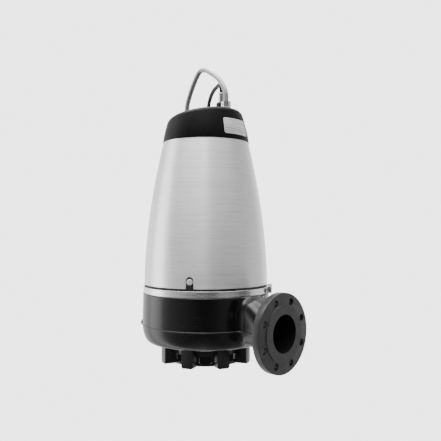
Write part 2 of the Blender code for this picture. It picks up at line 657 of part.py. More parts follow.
def add_name_plate(parent, metal):
    """A bare plate with rounded corners that follows the cover on the outlet's side."""
    bm = bmesh.new()
    quarter = [math.radians(90) * k / CORNER_STEPS for k in range(CORNER_STEPS + 1)]
    corner_rows = [PLATE_CORNER * (1 - math.cos(angle)) for angle in quarter]
    row_height = (PLATE_HEIGHT - 2 * PLATE_CORNER) / PLATE_ROWS
    rises = corner_rows + [PLATE_CORNER + row_height * k for k in range(1, PLATE_ROWS)]
    rises += [PLATE_HEIGHT - rise for rise in reversed(corner_rows)]
    layers = []
    for lift in (GAP, GAP + PLATE_THICKNESS):
        grid = []
        for rise in rises:
            corner = max(0.0, PLATE_CORNER - min(rise, PLATE_HEIGHT - rise))
            half_width = PLATE_WIDTH / 2 - PLATE_CORNER + math.sqrt(PLATE_CORNER ** 2 - corner ** 2)
            height = PLATE_BOTTOM + rise
            radius = cover_radius(height) + lift
            row = []
            for k in range(PLATE_COLUMNS + 1):
                angle = (2 * k / PLATE_COLUMNS - 1) * half_width / COVER_CURVE_R
                row.append(bm.verts.new((radius * math.cos(angle), radius * math.sin(angle), height)))
            grid.append(row)
        layers.append(grid)
    for grid in layers:
        for low, high in zip(grid, grid[1:]):
            for k in range(PLATE_COLUMNS):
                bm.faces.new((low[k], low[k + 1], high[k + 1], high[k]))
    back, front = layers
    last = len(rises) - 1
    border = [(0, k) for k in range(PLATE_COLUMNS)] + [(j, PLATE_COLUMNS) for j in range(last)]
    border += [(last, k) for k in range(PLATE_COLUMNS, 0, -1)] + [(j, 0) for j in range(last, 0, -1)]
    for (j, k), (m, n) in zip(border, border[1:] + border[:1]):
        bm.faces.new((back[j][k], back[m][n], front[m][n], front[j][k]))
    add_piece("name_plate", bm, metal, parent)


def add_bracket(parent, steel):
    """The round-bar lifting bracket and the two nuts that hold it."""
    feet = [(x, pad_top(x, NUT_PAD_R)) for x in (BRACKET_FRONT_X, BRACKET_BACK_X)]
    points = [(BRACKET_FRONT_X, 0.0, feet[0][1] + GAP)]
    points += [(x, 0.0, COVER_AXIS_HEIGHT + rise) for x, rise in BRACKET_ROUTE]
    points += [(BRACKET_BACK_X, 0.0, feet[1][1] + NUT_HEIGHT), (BRACKET_BACK_X, 0.0, feet[1][1] + GAP)]
    bar = tube("lifting_bracket", smooth_route(points, BRACKET_STEP), BRACKET_BAR_R, BRACKET_BAR_STEPS)
    add_piece("lifting_bracket", bar, steel, parent)
    for name, (x, height) in zip(("bracket_nut_front", "bracket_nut_back"), feet):
        nut = placed(prism(hexagon(NUT_FLATS), height + GAP, height + GAP + NUT_HEIGHT), spoke(NUT_TURN))
        passage = upright(BRACKET_BAR_R + 4 * GAP, height - NUT_HEIGHT, height + 2 * NUT_HEIGHT)
        shape = placed_mesh(combine(name, nut, [("DIFFERENCE", passage)]), Matrix.Translation((x, 0, 0)))
        add_piece(name, shape, steel, parent)


def add_gland(parent, black, chrome):
    """The cable gland and the metal sleeve that the cable comes out of."""
    bottom = pad_top(GLAND_X, GLAND_PAD_R) + GAP
    hex_top = bottom + GLAND_HEX_HEIGHT
    cap = turned(
        [(0.0, GLAND_TOP), (GLAND_SLEEVE_R + GAP, GLAND_TOP), (GLAND_CAP_R, GLAND_TOP - GLAND_CAP_R / 2),
         (GLAND_CAP_R, hex_top - GLAND_HEX_HEIGHT / 2), (0.0, hex_top - GLAND_HEX_HEIGHT / 2)],
        SMALL_SEGMENTS,
    )
    place = Matrix.Translation((GLAND_X, GLAND_Y, 0))
    body = combine("cable_gland", prism(hexagon(GLAND_FLATS), bottom, hex_top), [("UNION", cap)])
    add_piece("cable_gland", placed_mesh(body, place), black, parent)
    sleeve = upright(GLAND_SLEEVE_R, GLAND_TOP + GAP, CABLE_EXIT)
    add_piece("gland_sleeve", placed(sleeve, place), chrome, parent)


def add_cable(parent, rubber):
    """The cable, over the cover and down the back, to its coil on the floor behind."""
    points = [
        (r * math.cos(math.radians(angle)), r * math.sin(math.radians(angle)), height)
        for r, angle, height in CABLE_ROUTE
    ]
    route = points[:1] + smooth_route(points[1:], CABLE_STEP)
    add_piece("power_cable", tube("power_cable", route, CABLE_R, CABLE_SECTION_STEPS), rubber, parent)
    inner = COIL_R - 2 * CABLE_R * COIL_COLUMNS
    top = 2 * CABLE_R * COIL_ROWS
    coil = turned(
        [(inner + COIL_CHAMFER, top), (COIL_R - COIL_CHAMFER, top), (COIL_R, top - COIL_CHAMFER),
         (COIL_R, COIL_CHAMFER), (COIL_R - COIL_CHAMFER, 0.0), (inner + COIL_CHAMFER, 0.0),
         (inner, COIL_CHAMFER), (inner, top - COIL_CHAMFER)],
        MIDDLE_SEGMENTS,
        ring=True,
    )
    place = spoke(COIL_ANGLE) @ Matrix.Translation((COIL_NEAR_SIDE + COIL_R, 0, 0))
    add_piece("cable_coil", placed(coil, place), rubber, parent)


def add_suction_cover(parent, iron):
    """The plate under the housing, with its spigot and inlet collar."""
    plate_bottom = SUCTION_PLATE_TOP - SUCTION_PLATE
    spigot_r = SUCTION_HOLE_R - GAP
    ring = turned(
        [(SUCTION_BORE_R, CHAMBER_BOTTOM), (spigot_r, CHAMBER_BOTTOM), (spigot_r, SUCTION_PLATE_TOP),
         (SUCTION_PLATE_R, SUCTION_PLATE_TOP), (SUCTION_PLATE_R, plate_bottom),
         (SUCTION_COLLAR_R, plate_bottom), (SUCTION_COLLAR_R, SUCTION_COLLAR_BOTTOM),
         (SUCTION_BORE_R, SUCTION_COLLAR_BOTTOM)],
        MIDDLE_SEGMENTS,
        ring=True,
    )
    add_piece("suction_cover", ring, iron, parent)


def add_impeller(parent, iron):
    """The impeller under the roof of its chamber: hub, back plate and swept vanes."""
    plate_top = IMPELLER_PLATE_BOTTOM + IMPELLER_PLATE
    hub = turned(
        [(0.0, CHAMBER_TOP - GAP), (IMPELLER_HUB_R, CHAMBER_TOP - GAP), (IMPELLER_HUB_R, plate_top),
         (IMPELLER_R, plate_top), (IMPELLER_R, IMPELLER_PLATE_BOTTOM),
         (IMPELLER_HUB_R, IMPELLER_PLATE_BOTTOM), (IMPELLER_HUB_R / 2, IMPELLER_BOTTOM),
         (0.0, IMPELLER_BOTTOM)],
        MIDDLE_SEGMENTS,
    )
    vanes = []
    start_r = IMPELLER_HUB_R / 2
    for number in range(IMPELLER_VANES):
        left = []
        right = []
        for step in range(VANE_STEPS + 1):
            share = step / VANE_STEPS
            radius = start_r + (IMPELLER_R - VANE_THICKNESS - start_r) * share
            angle = math.tau * number / IMPELLER_VANES - math.radians(VANE_SWEEP) * share
            side = Vector((-math.sin(angle), math.cos(angle))) * VANE_THICKNESS / 2
            middle = Vector((math.cos(angle), math.sin(angle))) * radius
            left.append(tuple(middle + side))
            right.append(tuple(middle - side))
        bottom = IMPELLER_BOTTOM + VANE_THICKNESS / 2
        vanes.append(("UNION", prism(right + left[::-1], bottom, IMPELLER_PLATE_BOTTOM + IMPELLER_PLATE / 2)))
    add_piece("impeller", combine("impeller", hub, vanes), iron, parent)


def add_foot(parent, iron):
    """The foot ring: a low wall with windows between eight legs."""
    top = SUCTION_PLATE_TOP
    inner = FOOT_WALL_INNER_R
    outer = FOOT_WALL_R
    wall = turned(
        [(inner, top), (outer, top), (outer, FOOT_WALL_BOTTOM), (inner, FOOT_WALL_BOTTOM)],
        BIG_SEGMENTS,
        ring=True,
    )
    legs = []
    windows = []
    for k in range(LEGS):
        between = FOOT_TURN + 360 * k / LEGS
        leg_start = outer - LEG_ROOT
        leg = prism(rounded_box(LEG_WIDTH, 0.0, top + LEG_CORNER, LEG_CORNER), leg_start, FOOT_R)
        legs.append(placed(leg, standing(between + 180 / LEGS)))
        window = rounded_box(WINDOW_WIDTH, WINDOW_BOTTOM, WINDOW_TOP, WINDOW_CORNER)
        window = prism(window, inner - FOOT_WALL, outer + FOOT_WALL)
        windows.append(placed(window, standing(between)))
    cap = upright(2 * FOOT_R, top, top + 2 * LEG_CORNER)
    shape = combine(
        "foot_ring", wall, [("UNION", joined(legs)), ("DIFFERENCE", joined(windows)), ("DIFFERENCE", cap)]
    )
    add_piece("foot_ring", shape, iron, parent)


def main():
    for old in list(bpy.data.objects):
        bpy.data.objects.remove(old)
    axis = bpy.data.objects.new("pump_axis", None)
    bpy.context.scene.collection.objects.link(axis)
    axis.location = (PUMP_X, 0.0, 0.0)

    iron = finish("black_iron", (0.022, 0.022, 0.023), 0.45, 0.0)
    raw_iron = finish("dark_iron", (0.030, 0.030, 0.031), 0.6, 0.3)
    brushed = finish("brushed_steel", (0.62, 0.62, 0.61), 0.32, 1.0)
    bright = finish("bright_steel", (0.75, 0.75, 0.74), 0.18, 1.0)
    zinc = finish("zinc_steel", (0.58, 0.58, 0.57), 0.35, 1.0)
    chrome = finish("chrome", (0.80, 0.80, 0.80), 0.10, 1.0)
    cover_black = finish("cover_black", (0.018, 0.018, 0.019), 0.5, 0.0)
    rubber = finish("black_rubber", (0.020, 0.020, 0.020), 0.6, 0.0)
    plate_metal = finish("plate_metal", (0.70, 0.70, 0.70), 0.4, 0.8)

    add_housing(axis, iron)
    add_plugs(axis, zinc)
    add_band(axis, bright)
    add_sleeve(axis, brushed, raw_iron, rubber)
    add_cover(axis, cover_black)
    add_name_plate(axis, plate_metal)
    add_bracket(axis, bright)
    add_gland(axis, rubber, chrome)
    add_cable(axis, rubber)
    add_suction_cover(axis, iron)
    add_impeller(axis, raw_iron)
    add_foot(axis, iron)


main()
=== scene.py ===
"""The looks of the submersible drainage pump, fitted over its CAD frame.

Metres, +Z up, in the row frame. Pieces are modelled about the pump's own upright axis, which
stands at PUMP_X. Angles in degrees go round that axis, from the outlet towards +Y.
"""

import math

import bmesh
import bpy
import numpy as np
from mathutils import Matrix, Vector


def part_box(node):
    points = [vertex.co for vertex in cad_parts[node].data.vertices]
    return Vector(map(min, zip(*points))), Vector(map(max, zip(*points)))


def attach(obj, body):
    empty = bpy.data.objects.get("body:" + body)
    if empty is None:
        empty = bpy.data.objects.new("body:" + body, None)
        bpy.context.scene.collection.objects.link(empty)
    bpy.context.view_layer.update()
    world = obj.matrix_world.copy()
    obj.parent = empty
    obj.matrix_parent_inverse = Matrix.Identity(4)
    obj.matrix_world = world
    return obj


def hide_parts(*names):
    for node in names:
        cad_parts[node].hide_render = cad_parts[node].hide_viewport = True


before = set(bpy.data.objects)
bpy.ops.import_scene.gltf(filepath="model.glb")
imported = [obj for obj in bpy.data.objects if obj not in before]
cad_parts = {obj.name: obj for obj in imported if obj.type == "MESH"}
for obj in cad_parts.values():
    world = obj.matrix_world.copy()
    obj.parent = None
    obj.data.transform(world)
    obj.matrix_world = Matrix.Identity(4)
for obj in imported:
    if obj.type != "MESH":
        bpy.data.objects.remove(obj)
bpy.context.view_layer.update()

band_low, band_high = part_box("clamp_band")
PUMP_X = (band_low[0] + band_high[0]) / 2
SMOOTH_ANGLE = math.radians(35)
GAP = 0.0003                    # between two pieces that touch
PAST = 0.01                     # by which a cutter runs past a socket's top

# Camera: fitted to the photograph, with its image taken as 441 by 441 pixels
IMAGE_SIZE = 441
FOCAL_PX = 553.0
HORIZON_PX = 230.4
AXIS_PX = 206.0
CAMERA_HEIGHT = 0.390
CAMERA_DISTANCE = 1.688         # on the level, from the pump's axis
CAMERA_ANGLE = -46.0
SENSOR_WIDTH = 36.0

# Cable: points (distance from the pump's axis, angle, height) to the start of its coil
CABLE_R = 0.006
CABLE_ROUTE = [
    (0.0511, 20.0, 0.8053), (0.0511, 20.0, 0.8120), (0.0478, 24.9, 0.8260), (0.0425, 38.6, 0.8348),
    (0.0405, 63.8, 0.8378), (0.0479, 88.3, 0.8382), (0.0621, 108.0, 0.8362), (0.0824, 120.0, 0.8300),
    (0.1034, 126.4, 0.8190), (0.1200, 129.7, 0.8020), (0.1326, 131.5, 0.7800), (0.1398, 132.3, 0.7550),
    (0.1418, 132.4, 0.7250), (0.1411, 131.9, 0.6900), (0.1433, 130.9, 0.6500), (0.1503, 129.4, 0.6000),
    (0.1634, 127.8, 0.5300), (0.1746, 126.0, 0.4600), (0.1836, 124.2, 0.3900), (0.1898, 122.5, 0.3200),
    (0.1942, 121.0, 0.2600), (0.1985, 119.8, 0.2100), (0.2030, 118.7, 0.1600), (0.2070, 117.9, 0.1150),
    (0.2094, 117.6, 0.0800), (0.2086, 118.4, 0.0530), (0.2058, 121.5, 0.0280), (0.2030, 126.0, 0.0130),
    (0.2012, 131.2, 0.0066), (0.2011, 135.4, 0.0063),
]
CABLE_STEP = 0.006
COIL_ANGLE = 134.0
COIL_NEAR_SIDE = 0.2073
COIL_MEAN_R = 0.089
COIL_COLUMNS = 4
COIL_ROWS = 4
COIL_LEAD = 3.0                 # degrees before the near side at which the coil begins
COIL_FIRST_MOVE = 25.0
COIL_MOVE_WIDTH = 50.0          # degrees that a turn takes to change its place
COIL_ROW_LAG = 45.0             # degrees by which a higher row moves earlier
COIL_RUN_OUT = 300.0
COIL_STEP = 5.0
TIE_TURNS = (90.0, 200.0, 290.0)
TIE_THICKNESS = 0.0012
TIE_HALF_WIDTH = 0.0024
TIE_HEAD_LENGTH = 0.0075
TIE_HEAD_HALF_WIDTH = 0.0035
TIE_HEAD_HEIGHT = 0.0045
TIE_HEAD_INSET = 0.012
TIE_HEAD_CORNER = 0.001
CORES = 4
CORE_R = 0.0017
CORE_RING_R = 0.0026
CORE_SPLAY = 0.0012
CORE_SUNK = 0.002
CORE_LENGTH = 0.022
CORE_STEP = 0.004
WIRE_R = 0.0011
WIRE_LENGTH = 0.007
WIRE_SUNK = 0.001

# Housing and neck
HOUSING_TOP = 0.2055
HOUSING_TOP_R = 0.1895
HOUSING_R = 0.1912
HOUSING_ROUNDING = 0.0030
RIDGE_R = 0.0022
RIDGE_SUNK = 0.0006
RIDGE_START = 13.2
RIDGE_SEARCH = (0.10, 0.30)     # between which radii the casting's surface is looked for
BOWL_START = 0.124
BOWL_SQUARENESS = 2.5
BOWL_BOTTOM_R = 0.1595
BOWL_STEPS = 24
HOUSING_BOTTOM = 0.058
OUTLET_REACH = 0.294
OUTLET_HEIGHT = 0.112
OUTLET_BORE_R = 0.052
THROAT_R = 0.038
THROAT_START = 0.128
LINING = 0.003
LINING_PROUD = 0.0004           # by which the lining stands in from the bore
LINING_SHORT = 0.0015           # by which the lining ends before the sealing face
NECK_END_R = 0.062
NECK_ROOT_HALF_WIDTH = 0.058
NECK_ROOT_TOP = 0.202
NECK_ROOT_BOTTOM = 0.067
NECK_ROOT_START = 0.139
NECK_STRAIGHT_END = 0.196
NECK_ROOT_SQUARENESS = 3.2
NECK_FILLET = 0.014
NECK_STEPS = 16
NECK_SEGMENTS = 64
CASTING_VOXEL = 0.0025
CASTING_MARGIN = 0.002          # past what hides the casting's cut edges
SLOPE_SPAN = 0.0002
LARGEST_MOVE = 0.004            # of a vertex onto the casting, in one round
JOINT_R = 0.1865
JOINT_INNER_R = 0.1600
JOINT_BOTTOM = 0.2030
JOINT_TOP = 0.2236
CHAMBER_R = 0.135
CHAMBER_BOTTOM = 0.066
CHAMBER_TOP = 0.165
CHAMBER_CORNER = 0.008
CHAMBER_WALL = 0.006
SUCTION_HOLE_R = 0.093
UNDERSIDE_DROP = 0.0002
UNDERSIDE_THICKNESS = 0.004
UNDERSIDE_INSET = 0.02

# Plugs in the parting ridge
PLUG_ANGLES = (-136.0, 136.0)
PLUG_HEIGHT = 0.113
PLUG_BOSS_R = 0.0095
PLUG_BOSS_REACH = 0.1935
PLUG_BOSS_DEPTH = 0.012
PLUG_BOSS_FLARE = 0.002
PLUG_FLARE_SUNK = 0.001
PLUG_BOSS_ROUNDING = 0.0012
PLUG_FLATS = 0.013
PLUG_RISE = 0.0028
PLUG_SOCKET = 0.006
PLUG_SOCKET_FLOOR = 0.0008

# Flange
FLANGE_R = 0.110
FLANGE_FRONT = 0.291
FLANGE_BACK = 0.269
FLANGE_ROUNDING = 0.0020
RAISED_FACE_R = 0.079
RAISED_FACE_EDGE = 0.0006
RAISED_FACE_FILLET = 0.0008
FLANGE_FILLET = 0.0070
FLANGE_FILLET_GAP = 0.0005      # from the neck's own surface
FLANGE_ROOT_SUNK = 0.0015
FLANGE_ROOT_DEPTH = 0.0100
BOLT_CIRCLE_R = 0.090
BOLT_HOLE_R = 0.0095
BOLT_HOLES = 8
BOLT_HOLE_FLARE = 0.0045
BOLT_HOLE_CHAMFER = 0.0005
BOLT_HOLE_PAST = 0.004
TURNING_PITCH = 0.0016          # of the rings on the flange

# Clamp band and its closure
BAND_R = 0.1884
BAND_BOTTOM = 0.2058
BAND_TOP = 0.2238
BAND_MIDDLE = (BAND_BOTTOM + BAND_TOP) / 2
BAND_THICKNESS = 0.0021
BAND_EDGE = 0.0007
BAND_DISH = 0.0004
BAND_DISH_HALF = 0.0050
CLOSURE_ANGLE = 37.0
LOOP_SPREAD = 10.5
LOOP_R = 0.0075
LOOP_WALL = 0.0014
LOOP_TOP = 0.2263
LOOP_INSET = 0.0004
LOOP_GAP = 0.0095
LOOP_GAP_CORNER = 0.002
TRUNNION_PLAY = 0.0002
TRUNNION_CHAMFER = 0.0008
TRUNNION_BORE_R = 0.0043
TAB_SPREAD = 4.6
TAB_WIDTH = 0.013
TAB_HALF_HEIGHT = 0.0085
TAB_CORNER = 0.003
TAB_THICKNESS = 0.0012
BOLT_R = 0.004
BOLT_PITCH = 0.00125
BOLT_SUNK = 0.002
BOLT_TAIL = 0.005
NUT_BORE_R = 0.0041
CLOSURE_NUT_FLATS = 0.013
CLOSURE_NUT_HEIGHT = 0.008

# Sleeve
SLEEVE_BOTTOM = 0.230
SLEEVE_TOP = 0.6547
SLEEVE_BOTTOM_R = 0.1855
SLEEVE_TOP_R = 0.1295
SLEEVE_CURVE = 1.79
SLEEVE_WALL = 0.003
SLEEVE_LIP = 0.0006
SLEEVE_STEPS = 48
SLOT_ANGLES = (-60.0, 60.0, 180.0)
SLOT_HALF_WIDTH = 0.011
SLOT_TOP = 0.263
SLOT_REACH = 0.012
SCREW_HEIGHT = 0.249
SCREW_RISE = 0.0034
SCREW_DOME = [(0.0055, 0.0), (0.0072, 0.0003), (0.0082, 0.0010), (0.0085, 0.0020)]  # radius, drop
SCREW_SOCKET = 0.005
SCREW_SOCKET_DEPTH = 0.0022

# Cover and plate
COVER_BOTTOM = 0.655
COVER_BOTTOM_R = 0.131
COVER_LIP = 0.0010
COVER_CURVE_END = 0.696
COVER_CURVE_R = 0.1233
COVER_CURVE = 1.39
COVER_CURVE_STEPS = 14
COVER_CONE_SLOPE = 0.27
COVER_AXIS_HEIGHT = 0.736
COVER_TOP_SLOPE = 0.152
COVER_ROUNDING = 0.013
PAD_RISE = 0.0005
PAD_ROUNDING = 0.0006
PLATE_WIDTH = 0.094
PLATE_BOTTOM = 0.668
PLATE_HEIGHT = 0.047
PLATE_CORNER = 0.006
PLATE_FACE = 0.0012             # above the cover, as are the next two
PRINT_BOTTOM = 0.0011
PRINT_TOP = 0.00125
PRINT_LINE = 0.0005
PRINT_MARGIN = 0.004
PRINT_SPLIT = -0.012
PRINT_LEFT_BOTTOM = 0.027
PRINT_RIGHT_BOTTOM = 0.034
PRINT_ROW = 0.0060
PRINT_ROWS = 3

# Bracket and gland
BRACKET_BAR_R = 0.0076
BRACKET_FRONT_X = 0.082
BRACKET_BACK_X = -0.088
BRACKET_ROUTE = [
    (0.0820, 0.0360), (0.0820, 0.0509), (0.0801, 0.0630), (0.0753, 0.0757), (0.0673, 0.0891),
    (0.0570, 0.1030), (0.0412, 0.1180), (0.0166, 0.1349), (0.0018, 0.1436), (-0.0114, 0.1482),
    (-0.0266, 0.1455), (-0.0388, 0.1331), (-0.0536, 0.1108), (-0.0663, 0.0878), (-0.0771, 0.0642),
    (-0.0829, 0.0461),
]
BRACKET_SKIN = 0.0002           # taken off the bar, to stay inside the CAD box
BRACKET_STEP = 0.004
NUT_FLATS = 0.025
NUT_HEIGHT = 0.020
NUT_PLAY = 0.0004
NUT_PAD_R = 0.0155
NUT_TURN = -16.0
WASHER_R = 0.0144
WASHER_CHAMFER = 0.0004
WASHER_TOP = 0.0022
NUT_BOTTOM = 0.0023
GLAND_X = 0.048
GLAND_Y = 0.0175
GLAND_PAD_R = 0.0195
GLAND_FLATS = 0.032
GLAND_HEX_HEIGHT = 0.014
GLAND_CAP_R = 0.0162
GLAND_CAP_SUNK = 0.004
GLAND_TOP = 0.778
GLAND_SLEEVE_R = 0.0085
CABLE_EXIT = 0.805
# Groove and end of the gland's sleeve: (depth, distance below the cable's exit)
GLAND_GROOVE = [
    (0.0, 0.0050), (0.0006, 0.0044), (0.0006, 0.0036), (0.0, 0.0030), (0.0, 0.0008), (0.0008, 0.0),
]

# Foot ring
FOOT_TOP = 0.0577
FOOT_WALL_R = 0.107
FOOT_WALL_INNER_R = 0.099
FOOT_WALL_BOTTOM = 0.0045
FOOT_R = 0.135
FOOT_TURN = -1.8
FOOT_EDGE = 0.0016
LEGS = 8
LEG_WIDTH = 0.036
LEG_CORNER = 0.006
LEG_SUNK = 0.003
WINDOW_WIDTH = 0.0355
WINDOW_BOTTOM = 0.0085
WINDOW_TOP = 0.031
WINDOW_CORNER = 0.005
WINDOW_PAST = 0.008

# Studio: brightness of the reflected room by place round it (0.5 is behind the camera, more is to its
# right) and by height (0.5 is level, 1 is overhead)
FLOOR_R = 0.85
FLOOR_DEPTH = 0.02
FLOOR_DROP = 0.0005
BACKDROP_GLOW = 3.6
SOFT_LIGHT = 0.9
# A disc of painted shadow on the floor under the pump, its middle set off away from the camera
SHADE_R = 0.106
SHADE_EDGE = 0.010
SHADE_GLOW = 0.006
SHADE_SHIFT = 0.015
LIGHT_TURN = 10.0               # from the camera, to its right
LIGHT_HEIGHT = 2.2
LIGHT_DISTANCE = 0.7
LIGHT_SIZE = 1.4
LIGHT_POWER = 30.0
LIGHT_AIM = 0.35
ROOM_ROUND = [
    (0.0, 2.2), (0.10, 2.2), (0.165, 2.4), (0.20, 4.4), (0.235, 4.2), (0.27, 1.8), (0.295, 1.1),
    (0.32, 0.8), (0.37, 0.50), (0.42, 0.28), (0.48, 0.06), (0.52, 0.06), (0.56, 0.22), (0.61, 0.40),
    (0.68, 0.7), (0.76, 1.0), (0.84, 1.2), (0.90, 1.8), (1.0, 2.2),
]
ROOM_UP = [
    (0.0, 0.8), (0.10, 0.4), (0.30, 0.1), (0.46, 0.0), (0.60, 0.1), (0.70, 0.2), (0.80, 0.5),
    (0.88, 3.0), (0.94, 7.4), (1.0, 8.4),
]
ROOM_SIDE = [
    (0.0, 1.0), (0.12, 1.5), (0.25, 1.6), (0.30, 1.3), (0.44, 1.25), (0.485, 1.4), (0.52, 1.05),
    (0.60, 0.80), (0.72, 0.75), (1.0, 1.0),
]
ROOM_WALLS = [(0.0, 0.6), (0.40, 0.85), (0.48, 1.0), (0.56, 1.0), (0.66, 0.6), (0.76, 0.8), (1.0, 1.0)]


# Camera

def add_camera():
    """The photograph's camera, which looks past the pump's axis by the pixels that it stands off centre."""
    angle = math.radians(CAMERA_ANGLE)
    toward = Vector((math.cos(angle), math.sin(angle), 0))
    right = Vector((-toward.y, toward.x, 0))
    middle = IMAGE_SIZE / 2
    turn = math.atan((middle - AXIS_PX) / FOCAL_PX)
    look = right * math.sin(turn) - toward * math.cos(turn)
    look.z = (HORIZON_PX - middle) / FOCAL_PX
    data = bpy.data.cameras.new("camera")
    data.sensor_width = SENSOR_WIDTH
    data.lens = SENSOR_WIDTH * FOCAL_PX / IMAGE_SIZE
    camera = show(bpy.data.objects.new("camera", data))
    camera.location = Vector((PUMP_X, 0, CAMERA_HEIGHT)) + toward * CAMERA_DISTANCE
    camera.rotation_euler = look.to_track_quat("-Z", "Y").to_euler()
    bpy.context.scene.camera = camera


# Places

def polar(radius, angle, height):
    """The point at this distance from the pump's axis, angle and height."""
    around = math.radians(angle)
    return Vector((radius * math.cos(around), radius * math.sin(around), height))


def shift(x, y, z):
    return Matrix.Translation((x, y, z))


def spoke(angle):
    """Turns local X to point away from the pump's axis at this angle in degrees."""
    return Matrix.Rotation(math.radians(angle), 4, "Z")


def outward(angle, height=0.0):
    """Turns local Z to point away from the pump's axis at this angle, with local Y sideways."""
    return shift(0, 0, height) @ spoke(angle) @ Matrix.Rotation(math.pi / 2, 4, "Y")


def standing(angle):
    """Turns a flat outline so that its x runs sideways, its y up and its depth away from the axis."""
    return spoke(angle) @ Matrix(((0, 0, 1, 0), (1, 0, 0, 0), (0, 1, 0, 0), (0, 0, 0, 1)))


# Shapes

def placed(bm, matrix):
    """The same shape, moved."""
    bmesh.ops.transform(bm, matrix=matrix, verts=bm.verts)
    return bm


def bridge(bm, one, other):
    """Faces between two closed rows of as many vertices."""
    for k in range(len(one)):
        nxt = (k + 1) % len(one)
        bm.faces.new((one[k], one[nxt], other[nxt], other[k]))


def fan(bm, tip, row):
    """Faces between one vertex and a closed row."""
    for k in range(len(row)):
        bm.faces.new((tip, row[k], row[(k + 1) % len(row)]))


def turned(profile, segments, ring=False):
    """A shape turned about Z from (radius, height) points; a ring also joins its last point to its first."""
    bm = bmesh.new()
    rows = []
    angles = [math.tau * k / segments for k in range(segments)]
    for radius, height in profile:
        if radius == 0:
            rows.append([bm.verts.new((0, 0, height))])
        else:
            rows.append([bm.verts.new((radius * math.cos(a), radius * math.sin(a), height)) for a in angles])
    pairs = list(zip(rows, rows[1:]))
    if ring:
        pairs.append((rows[-1], rows[0]))
    for one, other in pairs:
        if len(one) == 1:
            fan(bm, one[0], other)
        elif len(other) == 1:
            fan(bm, other[0], one)
        else:
            bridge(bm, one, other)
    return bm


def hoop(outer, inner, bottom, top, segments):
    """A plain ring of rectangular section about Z."""
    return turned([(outer, top), (outer, bottom), (inner, bottom), (inner, top)], segments, ring=True)


def upright(radius, bottom, top, segments=32):
    """A plain cylinder about Z, for cutters."""
    return turned([(0.0, top), (radius, top), (radius, bottom), (0.0, bottom)], segments)


def prism(outline, bottom, top):
    """A flat outline of (x, y) points, raised between two heights."""
    bm = bmesh.new()
    rings = [[bm.verts.new((x, y, height)) for x, y in outline] for height in (bottom, top)]
    bridge(bm, *rings)
    for ring in rings:
        bm.faces.new(ring)
    return bm


def hexagon(flats):
    """The outline of a hexagon of this size across its flats."""
    corner_r = flats / math.sqrt(3)
    return [(corner_r * math.cos(math.tau * k / 6), corner_r * math.sin(math.tau * k / 6)) for k in range(6)]


def arc(centre, radius, start, end, steps):
    """Points of a round corner in a profile, from one angle in degrees to another."""
    points = []
    for step in range(steps + 1):
        angle = math.radians(start + (end - start) * step / steps)
        points.append((centre[0] + radius * math.cos(angle), centre[1] + radius * math.sin(angle)))
    return points


def rounded_box(width, low, high, corner, steps=6):
    """An outline of (x, y) points, centred on x, with its four corners rounded."""
    side = width / 2 - corner
    middles = [(side, high - corner), (-side, high - corner), (-side, low + corner), (side, low + corner)]
    points = []
    for turn, middle in enumerate(middles):
        points += arc(middle, corner, 90 * turn, 90 * (turn + 1), steps)
    return points


def chamfered_hexagon(flats, bottom, top, bore_r):
    """A hexagon head or nut whose corners are turned off at its top."""
    flat_share, past_corner, steepness, beyond = 0.97, 1.02, 0.6, 0.001
    corner_r = flats / math.sqrt(3)
    cone_r = corner_r * past_corner
    shoulder = top - (corner_r - flats / 2) * steepness
    cone = turned(
        [(0.0, top), (flats / 2 * flat_share, top), (cone_r, shoulder), (cone_r, bottom - beyond),
         (0.0, bottom - beyond)],
        48,
    )
    tools = [("INTERSECT", cone)]
    if bore_r:
        tools.append(("DIFFERENCE", upright(bore_r, bottom - flats, top + flats, 40)))
    shape = bmesh.new()
    shape.from_mesh(combine(prism(hexagon(flats), bottom, top), tools))
    return shape


def thread(radius, bottom, top, pitch):
    """A rod with thread-like ridges."""
    root_r = radius - pitch / 2
    profile = [(0.0, bottom), (root_r, bottom)]
    for k in range(int((top - bottom) / pitch)):
        height = bottom + pitch * (k + 0.5)
        profile += [(radius, height), (root_r, height + pitch / 2)]
    profile += [(root_r, top), (0.0, top)]
    return turned(profile, 32)


def joined(shapes):
    """Several shapes in one bmesh."""
    whole = bmesh.new()
    for shape in shapes:
        part = bpy.data.meshes.new("part")
        shape.to_mesh(part)
        shape.free()
        whole.from_mesh(part)
        bpy.data.meshes.remove(part)
    return whole


def smoothed(mesh):
    """The mesh, smooth-shaded but for its sharp edges."""
    mesh.shade_smooth()
    mesh.set_sharp_from_angle(angle=SMOOTH_ANGLE)
    return mesh


def to_mesh(bm):
    """A smooth-shaded mesh with its faces pointing out."""
    bmesh.ops.recalc_face_normals(bm, faces=bm.faces)
    mesh = bpy.data.meshes.new("shape")
    bm.to_mesh(mesh)
    bm.free()
    return smoothed(mesh)


def show(thing):
    """The object, put in the scene."""
    bpy.context.scene.collection.objects.link(thing)
    return thing


def combine(base, tools, bevel=0.0, voxel=0.0):
    """The base shape after Booleans with (operation, shape) tools, then an edge bevel or a voxel remesh."""
    helpers = [show(bpy.data.objects.new("base", to_mesh(base)))]
    for operation, tool in tools:
        helper = show(bpy.data.objects.new("tool", to_mesh(tool)))
        step = helpers[0].modifiers.new(operation.lower(), "BOOLEAN")
        step.operation = operation
        step.object = helper
        helpers.append(helper)
    if bevel:
        edge = helpers[0].modifiers.new("bevel", "BEVEL")
        edge.width = bevel
        edge.segments = 3
        edge.limit_method = "ANGLE"
        edge.angle_limit = SMOOTH_ANGLE
    if voxel:
        grid = helpers[0].modifiers.new("voxels", "REMESH")
        grid.mode = "VOXEL"
        grid.voxel_size = voxel
    graph = bpy.context.evaluated_depsgraph_get()
    mesh = bpy.data.meshes.new_from_object(helpers[0].evaluated_get(graph))
    for helper in helpers:
        bpy.data.objects.remove(helper)
    return smoothed(mesh)


